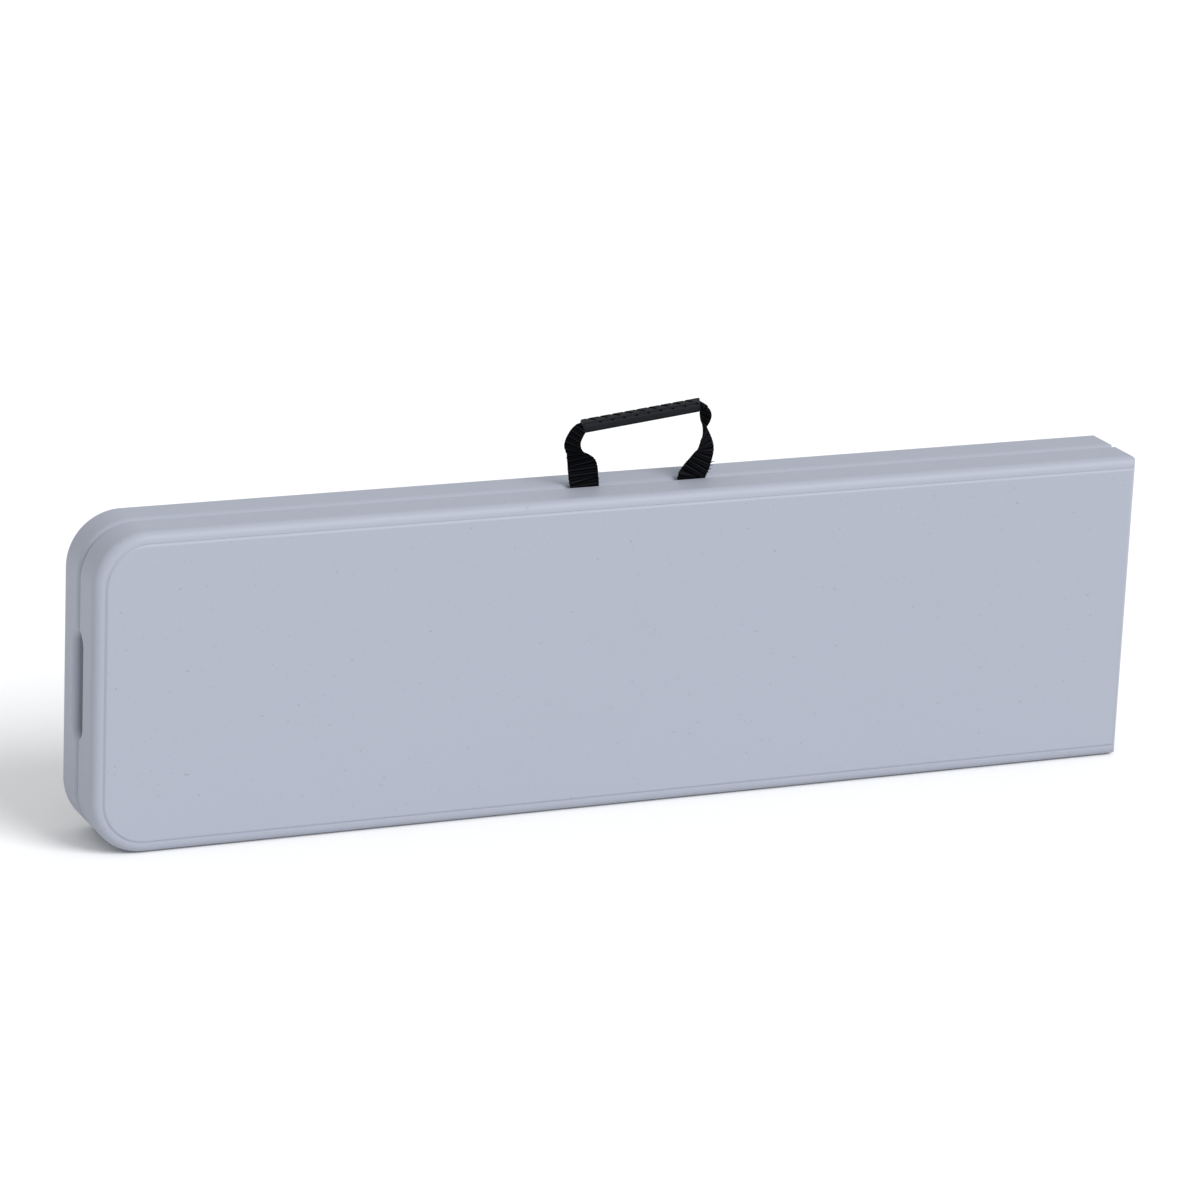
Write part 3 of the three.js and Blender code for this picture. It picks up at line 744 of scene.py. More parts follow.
@dataclass(frozen=True)
class ZincPlate(Finish):
    """Zinc plated steel with a cloudy spangle and fine rolling marks."""

    def dress(self, sheet: NodeSheet, shader: bpy.types.Node) -> None:
        """Builds the plating on object coordinates.

        Args:
            sheet: The node sheet to build on.
            shader: The material's surface shader.
        """
        where = sheet.add("ShaderNodeTexCoord").outputs["Object"]
        spangle = sheet.add("ShaderNodeTexVoronoi", Scale=160.0)
        sheet.link(where, spangle.inputs["Vector"])
        cell = sheet.add("ShaderNodeSeparateColor")
        sheet.link(spangle.outputs["Color"], cell.inputs[0])
        cloud = self.effect(sheet, mottle_group(), where, Scale=25.0, Strength=1.3)
        tint = sheet.math("MULTIPLY", cell.outputs[0], cloud.outputs["Value"])
        body = sheet.blend(tint, self.tone(0.86), self.tone(1.16))
        sheet.link(body, shader.inputs["Base Color"])
        rough = sheet.math("MULTIPLY_ADD", cell.outputs[1], 0.16)
        rough.node.inputs[2].default_value = self.roughness
        sheet.link(rough, shader.inputs["Roughness"])
        stretch = sheet.add("ShaderNodeMapping")
        stretch.inputs["Scale"].default_value = (6.0, 260.0, 260.0)
        sheet.link(where, stretch.inputs["Vector"])
        marks = self.effect(sheet, grain_group(), stretch.outputs[0], Scale=6.0)
        bump = sheet.add("ShaderNodeBump", Strength=0.08, Distance=0.0002)
        sheet.link(marks.outputs["Height"], bump.inputs["Height"])
        sheet.link(bump.outputs[0], shader.inputs["Normal"])
        shader.inputs["Metallic"].default_value = 0.9


@dataclass(frozen=True)
class MouldedBlack(Finish):
    """Black moulded plastic or rubber with a fine grain and rubbed, greyer edges."""

    def dress(self, sheet: NodeSheet, shader: bpy.types.Node) -> None:
        """Builds the plastic on object coordinates.

        Args:
            sheet: The node sheet to build on.
            shader: The material's surface shader.
        """
        where = sheet.add("ShaderNodeTexCoord").outputs["Object"]
        cloud = self.effect(sheet, mottle_group(), where, Scale=70.0, Strength=1.4)
        body = sheet.blend(cloud.outputs["Value"], self.tone(0.75), self.tone(1.3))
        wear = self.effect(sheet, wear_group(), where, Scale=200.0, Sharpness=6.0)
        body = sheet.blend(sheet.math("MULTIPLY", wear.outputs["Mask"], 0.55), body, self.tone(3.0))
        sheet.link(body, shader.inputs["Base Color"])
        rough = sheet.math("MULTIPLY_ADD", cloud.outputs["Value"], 0.2)
        rough.node.inputs[2].default_value = self.roughness - 0.1
        sheet.link(rough, shader.inputs["Roughness"])
        grain = self.effect(sheet, grain_group(), where, Scale=1500.0)
        bump = sheet.add("ShaderNodeBump", Strength=0.35, Distance=0.00025)
        sheet.link(grain.outputs["Height"], bump.inputs["Height"])
        sheet.link(bump.outputs[0], shader.inputs["Normal"])
        shader.inputs["Specular IOR Level"].default_value = 0.1


@dataclass(frozen=True)
class BlackWebbing(Finish):
    """Woven polypropylene webbing: ribs across, warp yarns along and a dull sheen, with a painted highlight
    on the rib crests and painted shade between the ribs.
    """

    rib_pitch: float = 2.3
    yarn_pitch: float = 1.25

    def dress(self, sheet: NodeSheet, shader: bpy.types.Node) -> None:
        """Builds the weave on the strap's own UV map, which is in metres.

        Args:
            sheet: The node sheet to build on.
            shader: The material's surface shader.
        """
        where = sheet.add("ShaderNodeUVMap", uv_map="weave").outputs["UV"]
        parts = sheet.add("ShaderNodeSeparateXYZ")
        sheet.link(where, parts.inputs[0])
        along = sheet.math("MULTIPLY", parts.outputs["X"], 1 / (self.rib_pitch * MM))
        across = sheet.math("MULTIPLY", parts.outputs["Y"], 1 / (self.yarn_pitch * MM))
        lane = sheet.math("FLOOR", across)
        offset = sheet.math("MULTIPLY", sheet.math("MODULO", lane, 2.0), 0.1)
        phase = sheet.math("MULTIPLY", sheet.math("ADD", along, offset), 2 * math.pi)
        rib = sheet.math("MULTIPLY_ADD", sheet.math("SINE", phase), 0.5)
        rib.node.inputs[2].default_value = 0.5
        lane_phase = sheet.math("MULTIPLY", across, math.pi)
        yarn = sheet.math("ABSOLUTE", sheet.math("SINE", lane_phase))
        height = sheet.math("MULTIPLY", rib, sheet.math("POWER", yarn, 0.6))
        slow = sheet.math("MULTIPLY_ADD", sheet.math("SINE", sheet.math("MULTIPLY", along, math.pi)), 0.4)
        slow.node.inputs[2].default_value = 0.6
        fuzz = self.effect(sheet, grain_group(), where, Scale=2600.0)
        total = sheet.math("MULTIPLY_ADD", fuzz.outputs["Height"], 0.35)
        sheet.link(height, total.node.inputs[2])
        cloud = self.effect(sheet, mottle_group(), where, Scale=120.0, Strength=1.2)
        # Painted light: each rib crest is painted lighter as a painted highlight and the valley between ribs
        # darker as painted shade; its strength alternates from rib to rib.
        body = sheet.blend(sheet.math("MULTIPLY", rib, slow), self.tone(0.08), self.tone(2.6))
        body = sheet.blend(sheet.math("MULTIPLY", cloud.outputs["Value"], 0.2), body, self.tone(0.6))
        sheet.link(body, shader.inputs["Base Color"])
        rough = sheet.math("MULTIPLY_ADD", height, -0.15)
        rough.node.inputs[2].default_value = self.roughness
        sheet.link(rough, shader.inputs["Roughness"])
        bump = sheet.add("ShaderNodeBump", Strength=0.4, Distance=0.00025)
        sheet.link(total, bump.inputs["Height"])
        sheet.link(bump.outputs[0], shader.inputs["Normal"])
        shader.inputs["Specular IOR Level"].default_value = 0.04
        shader.inputs["IOR"].default_value = 1.2


@dataclass(frozen=True)
class StudioPaper(Finish):
    """The plain pale floor."""

    def dress(self, sheet: NodeSheet, shader: bpy.types.Node) -> None:
        """Builds a near-white paper with a faint grain.

        Args:
            sheet: The node sheet to build on.
            shader: The material's surface shader.
        """
        where = sheet.add("ShaderNodeTexCoord").outputs["Object"]
        cloud = self.effect(sheet, mottle_group(), where, Scale=3.0, Strength=0.6)
        paper = sheet.blend(cloud.outputs["Value"], self.tone(0.995), self.tone(1.005))
        sheet.link(paper, shader.inputs["Base Color"])
        shader.inputs["Roughness"].default_value = self.roughness
        shader.inputs["Specular IOR Level"].default_value = 0.1


GRANITE = GranitePlastic("granite_plastic", "granite_top", (0.317, 0.340, 0.402), 0.52)
LEG_PAINT = PowderCoat("grey_powder_coat", "painted_leg_steel", (0.19, 0.20, 0.215), 0.38)
ZINC = ZincPlate("zinc_plate", "zinc_steel", (0.60, 0.61, 0.63), 0.28)
FOOT_PLASTIC = MouldedBlack("foot_plastic", "black_foot_plastic", (0.020, 0.021, 0.023), 0.6)
GRIP_PLASTIC = MouldedBlack("grip_plastic", "black_grip_plastic", (0.0065, 0.0075, 0.0095), 0.6)
THREAD = MouldedBlack("black_thread", "black_webbing", (0.006, 0.0065, 0.0075), 0.85)
WEBBING = BlackWebbing("woven_webbing", "black_webbing", (0.0062, 0.0066, 0.0078), 0.92)
PAPER = StudioPaper("studio_paper", "", (0.90, 0.90, 0.90), 0.9)


def dress(piece: bpy.types.Object, finish: Finish) -> None:
    """Gives a piece one finish on all its faces.

    Args:
        piece: The piece, new or from the CAD model.
        finish: The finish to use.
    """
    piece.data.materials.clear()
    piece.data.materials.append(finish.material())
    for face in piece.data.polygons:
        face.material_index = 0


def hand_over(piece: bpy.types.Object, finish: Finish, body: str, *nodes: str) -> bpy.types.Object:
    """Dresses a new piece, puts it on its body and lets it stand for CAD nodes.

    Args:
        piece: The finished piece.
        finish: Its finish.
        body: The body that it moves with.
        nodes: The CAD nodes that it replaces.

    Returns:
        The same piece.
    """
    dress(piece, finish)
    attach(piece, body)
    if nodes:
        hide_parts(*nodes)
    log.info("made %s: %d faces", piece.name, len(piece.data.polygons))
    return piece


# ---- The moulded half tops ----


@dataclass
class MouldedTop:
    """One half top: a shallow tray with a rim lip, a round-over and a raised seat panel."""

    outer_corner: float = 44.0
    hinge_corner: float = 3.0
    hinge_round: float = 5.0
    lip_width: float = 8.0
    lip_round: float = 5.6
    round_over: float = 7.8
    border: float = 0.8
    step_height: float = 0.8
    hole_reach: float = 15.0
    hole_half_length: float = 48.0
    hole_flare: float = 5.5
    spare: float = 60.0
    leaf_height: float = 46.0
    leaf_start: float = 14.0
    finish: Finish = GRANITE

    def skin(self) -> bpy.types.Object:
        """The outer form of the front half as a solid, longer than it is so the border runs out.

        Returns:
            The solid, cut at the hinge end.
        """
        far_x = END_X + self.spare
        skin = block("skin", (OUTER_X, -self.lip_width, 0), (far_x, -SEAM_GAP, WIDTH))
        corners = lambda a, b: abs(a.y - b.y) > 1 and max(a.x, b.x) < OUTER_X + 1
        soften(skin, corners, self.outer_corner, 28)
        self.raise_seat(skin)
        square_end = block("square_end", (OUTER_X - 50, -60, -10), (END_X, 20, WIDTH + 10))
        combine(skin, square_end, "INTERSECT")
        self.ease_lip(skin)
        near = (OUTER_X - 50, -HALF_THICKNESS - 0.02, -0.05)
        far = (END_X + 0.02, 20, WIDTH + 0.05)
        keeper = block("keeper", near, far)
        upright = lambda a, b: abs(a.z - b.z) > 1 and min(a.x, b.x) > END_X and max(a.y, b.y) < 0
        soften(keeper, upright, self.hinge_round, 8)
        soften(keeper, lambda a, b: abs(a.z - b.z) < 0.01, self.hinge_corner, 5)
        combine(skin, keeper, "INTERSECT")
        return skin

    def raise_seat(self, skin: bpy.types.Object) -> None:
        """Builds the wall, round-over, border and raised seat panel out of the lip.

        Args:
            skin: The lip block, with its outer corners rounded.
        """
        border_depth = HALF_THICKNESS - self.step_height
        choose_faces(skin, lambda middle, normal: normal.y < -0.9)
        wall = border_depth - self.lip_width
        bpy.ops.mesh.extrude_region_move(TRANSFORM_OT_translate={"value": (0, -wall * MM, 0)})
        bpy.ops.mesh.region_to_loop()
        bpy.ops.mesh.bevel(offset=self.round_over * MM, segments=10, profile=0.5)
        close_edit()
        choose_faces(skin, lambda middle, normal: normal.y < -0.999 and middle.y < -border_depth + 0.01)
        bpy.ops.mesh.inset(thickness=self.border * MM, depth=0)
        for inset, rise in ((0.3, -0.3), (0.3, 0.05), (0.5, 0.3), (0.7, 0.5), (0.5, 0.2), (0.5, 0.05)):
            bpy.ops.mesh.inset(thickness=inset * MM, depth=rise * MM)
        close_edit()

    def ease_lip(self, skin: bpy.types.Object) -> None:
        """Rounds the sharp edge that meets the other half.

        Args:
            skin: The solid to ease.
        """
        choose_faces(skin, lambda middle, normal: normal.y > 0.9)
        bpy.ops.mesh.region_to_loop()
        bpy.ops.mesh.bevel(offset=self.lip_round * MM, segments=8, profile=0.5)
        close_edit()

    def tray(self) -> bpy.types.Object:
        """The cutter for the hollow underside.

        Returns:
            The cutter.
        """
        low = (OUTER_X + RIM_WIDTH, -FLOOR_DEPTH, RIM_WIDTH)
        high = (END_X - RIM_WIDTH, 5, WIDTH - RIM_WIDTH)
        tray = block("tray", low, high)
        outer = lambda a, b: abs(a.y - b.y) > 5 and max(a.x, b.x) < low[0] + 1
        soften(tray, outer, self.outer_corner - RIM_WIDTH, 16)
        hinge = lambda a, b: abs(a.y - b.y) > 5 and min(a.x, b.x) > high[0] - 1
        soften(tray, hinge, 3.0, 5)
        floor_edge = lambda a, b: max(a.y, b.y) < -FLOOR_DEPTH + 0.01
        soften(tray, floor_edge, 0.9, 3)
        return tray

    def wells(self) -> bpy.types.Object:
        """The cutter for the rows of wells that tie the two skins together.

        Returns:
            The joined cutter.
        """
        start = OUTER_X + 135
        first = bar("well", 7.5, 5.5, (start, -FLOOR_DEPTH - 2.25, MID_Z - 62), Axis.Y, 24, 5.0)
        soften(first, lambda a, b: max(a.y, b.y) < -FLOOR_DEPTH - 4.9, 1.2, 3)
        wells = [first]
        for column in range(9):
            for row in (0, 124):
                if column or row:
                    wells.append(copied(first, "well_copy", (84.0 * column, 0, row)))
        return joined("wells", wells)

    def finger_hole(self) -> bpy.types.Object:
        """The cutter for the finger hole: a long slot with slanted ends and a broad flare.

        Returns:
            The cutter.
        """
        reach, half = self.hole_reach, self.hole_half_length
        hole = block("finger_hole", (OUTER_X - 4, -reach, MID_Z - half), (OUTER_X, reach, MID_Z + half))
        choose_edges(hole, lambda a, b: abs(a.x - b.x) > 2)
        bpy.ops.mesh.bevel(offset=(reach - 1) * MM, segments=8, profile=0.42)
        close_edit()
        choose_faces(hole, lambda middle, normal: normal.x > 0.9)
        turns = [math.radians(15 * step) for step in range(7)]
        for before, after in zip(turns, turns[1:]):
            inset = self.hole_flare * (math.sin(after) - math.sin(before))
            sink = self.hole_flare * (math.cos(before) - math.cos(after))
            bpy.ops.mesh.inset(thickness=inset * MM, depth=sink * MM)
        bpy.ops.mesh.extrude_region_move(TRANSFORM_OT_translate={"value": (RIM_WIDTH * MM, 0, 0)})
        close_edit()
        return hole

    def leaf_notches(self) -> list[bpy.types.Object]:
        """The cutters for the hinge leaves and knuckles.

        Returns:
            Two cutters, for the lower and upper hinge.
        """
        starts = (self.leaf_start - 0.5, WIDTH - self.leaf_start - self.leaf_height - 0.5)
        low_x, high_x = END_X - RIM_WIDTH - 3, HINGE_X + 4
        return [
            block(f"notch_{index}", (low_x, -5.5, z), (high_x, 4, z + self.leaf_height + 1))
            for index, z in enumerate(starts)
        ]

    def build(self) -> dict[Half, bpy.types.Object]:
        """Builds both half tops.

        Returns:
            The two pieces by half.
        """
        top = self.skin()
        for cutter in (self.tray(), self.wells(), self.finger_hole(), *self.leaf_notches()):
            combine(top, cutter)
        top.name = top.data.name = "front_top_moulding"
        rear = reflected(top, "rear_top_moulding")
        for index, x in enumerate(Handle.strap_places):
            slot = block(f"slot_{index}", (x - 13.5, -5, WIDTH - RIM_WIDTH - 3), (x + 13.5, 3, WIDTH + 1))
            soften(slot, lambda a, b: abs(a.z - b.z) > 5 and max(a.y, b.y) < -4, 1.0, 3)
            combine(top, slot)
        halves = {Half.FRONT: top, Half.REAR: rear}
        for half, piece in halves.items():
            smoothed(piece, 28)
            hand_over(piece, self.finish, f"{half.word}_half", f"{half.word}_top_panel")
        return halves


# ---- Legs and braces ----


@dataclass
class FoldingLeg:
    """A U-shaped steel leg with a welded crossbar and two clip-on foot pads."""

    pivot_x: float = OUTER_X + 115
    depth: float = 14.0
    radius: float = 11.0
    wall: float = 1.2
    tube_z: float = 40.0
    bend: float = 42.0
    run_x: float = OUTER_X + 115 + 406 - 14.5
    crossbar_reach: float = 210.0
    crossbar_radius: float = 6.0
    pad_length: float = 34.0
    pad_reach: float = 44.0

    def tube(self) -> bpy.types.Object:
        """Bends the leg tube as a filleted curve with a real wall.

        Returns:
            The tube.
        """
        deselect_all()
        bpy.ops.curve.primitive_bezier_curve_add()
        curve = bpy.context.object
        spline = curve.data.splines[0]
        ends = [(self.pivot_x - 12, self.tube_z), (self.run_x - self.bend, self.tube_z)]
        ends += [(self.run_x, self.tube_z + self.bend), (self.run_x, WIDTH - self.tube_z - self.bend)]
        ends += [(self.run_x - self.bend, WIDTH - self.tube_z), (self.pivot_x - 12, WIDTH - self.tube_z)]
        spline.bezier_points.add(len(ends) - 2)
        reach = self.bend * 0.5523
        straight = [(1, 0), (1, 0), (0, 1), (0, 1), (-1, 0), (-1, 0)]
        for point, (x, z), (dx, dz) in zip(spline.bezier_points, ends, straight):
            point.handle_left_type = point.handle_right_type = "FREE"
            point.co = Vector((x, -self.depth, z)) * MM
            point.handle_left = Vector((x - dx * reach, -self.depth, z - dz * reach)) * MM
            point.handle_right = Vector((x + dx * reach, -self.depth, z + dz * reach)) * MM
        curve.data.resolution_u = 14
        curve.data.bevel_depth = (self.radius) * MM
        curve.data.bevel_resolution = 7
        curve.data.use_fill_caps = False
        bpy.ops.object.convert(target="MESH")
        tube = named("leg_tube")
        apply_modifier(tube, "SOLIDIFY", thickness=self.wall * MM, offset=-1.0)
        self.drill(tube)
        return smoothed(tube, 30)

    def drill(self, tube: bpy.types.Object) -> None:
        """Drills the pivot hole through both ends of the tube.

        Args:
            tube: The tube to drill.
        """
        combine(tube, bar("drill", 4.3, WIDTH - 4, (self.pivot_x, -self.depth, MID_Z), Axis.Z, 24))

    def crossbar(self) -> bpy.types.Object:
        """The cross rod with a weld bead at each end.

        Returns:
            The rod.
        """
        x = self.pivot_x + self.crossbar_reach
        length = WIDTH - 2 * (self.tube_z + self.radius) + 1.4
        rod = bar("crossbar", self.crossbar_radius, length, (x, -self.depth, MID_Z), Axis.Z, 40)
        parts = [rod]
        for side in (-1, 1):
            deselect_all()
            place = (x * MM, -self.depth * MM, (MID_Z + side * (length / 2 - 1.3)) * MM)
            radii = {"major_radius": (self.crossbar_radius + 0.2) * MM, "minor_radius": 1.5 * MM}
            bpy.ops.mesh.primitive_torus_add(location=place, major_segments=40, minor_segments=10, **radii)
            bead = named("weld_bead")
            self.ripple(bead, x)
            parts.append(bead)
        return smoothed(joined("leg_crossbar", parts), 40)

    def ripple(self, bead: bpy.types.Object, x: float) -> None:
        """Gives a weld bead its stacked ripples.

        Args:
            bead: The bead's ring.
            x: The crossbar's place along X in millimetres.
        """
        centre = Vector((x, -self.depth, 0)) * MM
        for vertex in bead.data.vertices:
            angle = math.atan2(vertex.co.y - centre.y, vertex.co.x - centre.x)
            swell = 1 + 0.035 * math.sin(angle * 13) + 0.02 * math.sin(angle * 5 + 1)
            vertex.co.x = centre.x + (vertex.co.x - centre.x) * swell
            vertex.co.y = centre.y + (vertex.co.y - centre.y) * swell

    def pad(self) -> bpy.types.Object:
        """A foot pad: a ribbed sole spun round the lower run of the leg.

        Returns:
            The lower one of the two pads.
        """
        low = MID_Z - self.pad_reach - self.pad_length / 2
        inner, outer = self.radius + 0.3, self.radius + 3.5
        wrap = math.radians(64)
        first = (self.run_x + inner, -self.depth - 0.05, low)
        last = (self.run_x + outer, -self.depth + 0.05, low + self.pad_length)
        pad = block("foot_pad", first, last)
        soften(pad, lambda a, b: min(a.x, b.x) > self.run_x + outer - 0.1 and abs(a.z - b.z) < 1, 1.4, 4)
        choose_faces(pad, lambda middle, normal: normal.y > 0.9)
        bpy.ops.mesh.delete(type="FACE")
        close_edit()
        choose_faces(pad, lambda middle, normal: normal.y < -0.9)
        bpy.ops.mesh.separate(type="SELECTED")
        close_edit()
        profile = next(item for item in bpy.context.selected_objects if item is not pad)
        bpy.data.objects.remove(pad, do_unlink=True)
        self.spin_profile(profile, wrap)
        profile.name = profile.data.name = "foot_pad"
        return profile

    def spin_profile(self, profile: bpy.types.Object, wrap: float) -> None:
        """Spins a flat profile round the leg run into a closed arc.

        Args:
            profile: The profile, lying in the plane through the run's middle.
            wrap: How far the arc reaches on each side, in radians.
        """
        centre = Vector((self.run_x, -self.depth, 0)) * MM
        turn = Matrix.Translation(centre) @ Matrix.Rotation(-wrap, 4, "Z") @ Matrix.Translation(-centre)
        profile.data.transform(turn)
        pick(profile)
        bpy.ops.object.mode_set(mode="EDIT")
        bpy.ops.mesh.select_all(action="SELECT")
        bpy.ops.mesh.spin(steps=28, angle=2 * wrap, center=centre, axis=(0, 0, 1), use_auto_merge=False)
        bpy.ops.mesh.select_all(action="SELECT")
        bpy.ops.mesh.remove_doubles(threshold=0.00001)
        bpy.ops.mesh.fill_holes(sides=0)
        bpy.ops.mesh.normals_make_consistent(inside=False)
        close_edit()
        rib = [
            block(f"rib_{index}", (self.run_x + self.radius + 2.7, -40, z), (self.run_x + 20, 20, z + 1.2))
            for index, z in enumerate(self.rib_places())
        ]
        combine(profile, joined("ribs", rib))
        smoothed(profile, 35)

    def rib_places(self) -> list[float]:
        """Where the grooves of the sole start, along Z."""
        low = MID_Z - self.pad_reach - self.pad_length / 2
        return [low + 5.4 + 5.5 * index for index in range(5)]

    def build(self) -> None:
        """Builds the leg of each half."""
        tube, crossbar, pad = self.tube(), self.crossbar(), self.pad()
        upper = copied(pad, "pad_upper", (0, 0, 2 * self.pad_reach))
        for half in Half:
            word, body = half.word, f"{half.word}_leg"
            for piece, name, finish in (
                (tube, "leg_tube", LEG_PAINT),
                (crossbar, "leg_crossbar", LEG_PAINT),
                (pad, "foot_pad_lower", FOOT_PLASTIC),
                (upper, "foot_pad_upper", FOOT_PLASTIC),
            ):
                maker = copied if half is Half.FRONT else reflected
                hand_over(maker(piece, f"{word}_{name}_fine"), finish, body, f"{word}_{name}")
        for piece in (tube, crossbar, pad, upper):
            bpy.data.objects.remove(piece, do_unlink=True)


@dataclass
class Brace:
    """The rod that holds a leg open: an eye on a clevis pin and a hook for the crossbar."""

    pivot_x: float = OUTER_X + 445
    depth: float = 26.0
    radius: float = 4.75
    hook_x: float = 397.674
    hook_offset: float = 4.5
    hook_inner: float = 6.3
    hook_outer: float = 8.9
    hook_width: float = 14.0
    hook_start: float = 146.0
    rod_trim: float = 8.2
    eye_width: float = 11.0
    pin_radius: float = 2.3

    def rod(self) -> bpy.types.Object:
        """The straight rod with a flattened, drilled eye.

        Returns:
            The rod.
        """
        length = self.hook_x - self.rod_trim
        middle = (self.pivot_x - length / 2, -self.depth, MID_Z)
        rod = bar("brace_rod", self.radius, length, middle, Axis.X, 36)
        soften(rod, lambda a, b: max(a.x, b.x) < self.pivot_x - length + 0.1, 0.8, 3)
        eye = bar("eye", self.radius, self.eye_width, (self.pivot_x, -self.depth, MID_Z), Axis.Z, 40)
        soften(eye, lambda a, b: abs(a.z - b.z) < 0.1, 0.5, 3)
        combine(rod, eye, "UNION")
        combine(rod, bar("eye_hole", self.pin_radius, 20, (self.pivot_x, -self.depth, MID_Z), Axis.Z, 28))
        return rod

    def hook(self) -> bpy.types.Object:
        """The open hook, spun from its section round the crossbar's place, with its tang.

        Returns:
            The hook.
        """
        centre = Vector((self.pivot_x - self.hook_x, -self.depth + self.hook_offset, MID_Z))
        middle = centre + Vector(((self.hook_inner + self.hook_outer) / 2, 0, 0))
        deselect_all()
        bpy.ops.mesh.primitive_plane_add(size=1, location=middle * MM, rotation=Axis.Y.value)
        section = named("brace_hook")
        span = Vector((self.hook_outer - self.hook_inner, 1, self.hook_width)) * MM
        pick(section)
        bpy.ops.object.mode_set(mode="EDIT")
        bpy.ops.mesh.select_all(action="SELECT")
        bpy.ops.transform.resize(value=span, center_override=middle * MM)
        bpy.ops.mesh.bevel(offset=0.7 * MM, segments=3, affect="VERTICES")
        close_edit()
        start = Matrix.Rotation(math.radians(self.hook_start), 4, "Z")
        section.data.transform(Matrix.Translation(centre * MM) @ start @ Matrix.Translation(-centre * MM))
        pick(section)
        bpy.ops.object.mode_set(mode="EDIT")
        bpy.ops.mesh.select_all(action="SELECT")
        bpy.ops.mesh.spin(steps=32, angle=math.pi, center=centre * MM, axis=(0, 0, 1), use_auto_merge=False)
        bpy.ops.mesh.select_all(action="SELECT")
        bpy.ops.mesh.remove_doubles(threshold=0.00001)
        bpy.ops.mesh.fill_holes(sides=0)
        bpy.ops.mesh.normals_make_consistent(inside=False)
        close_edit()
        seat_side = -self.depth - self.radius
        first = (self.pivot_x - self.hook_x + 2, seat_side + 0.3, MID_Z - 5)
        last = (self.pivot_x - self.hook_x + 16, seat_side + 2.6, MID_Z + 5)
        tang = block("tang", first, last)
        soften(tang, lambda a, b: abs(a.x - b.x) > 5, 0.6, 3)
        combine(section, tang, "UNION")
        return section

    def build(self) -> None:
        """Builds the brace of each half."""
        brace = self.rod()
        combine(brace, self.hook(), "UNION")
        smoothed(brace, 35)
        for half in Half:
            maker = copied if half is Half.FRONT else reflected
            piece = maker(brace, f"{half.word}_brace_fine")
            hand_over(piece, LEG_PAINT, f"{half.word}_brace", f"{half.word}_brace")
        bpy.data.objects.remove(brace, do_unlink=True)


# ---- The carrying handle ----


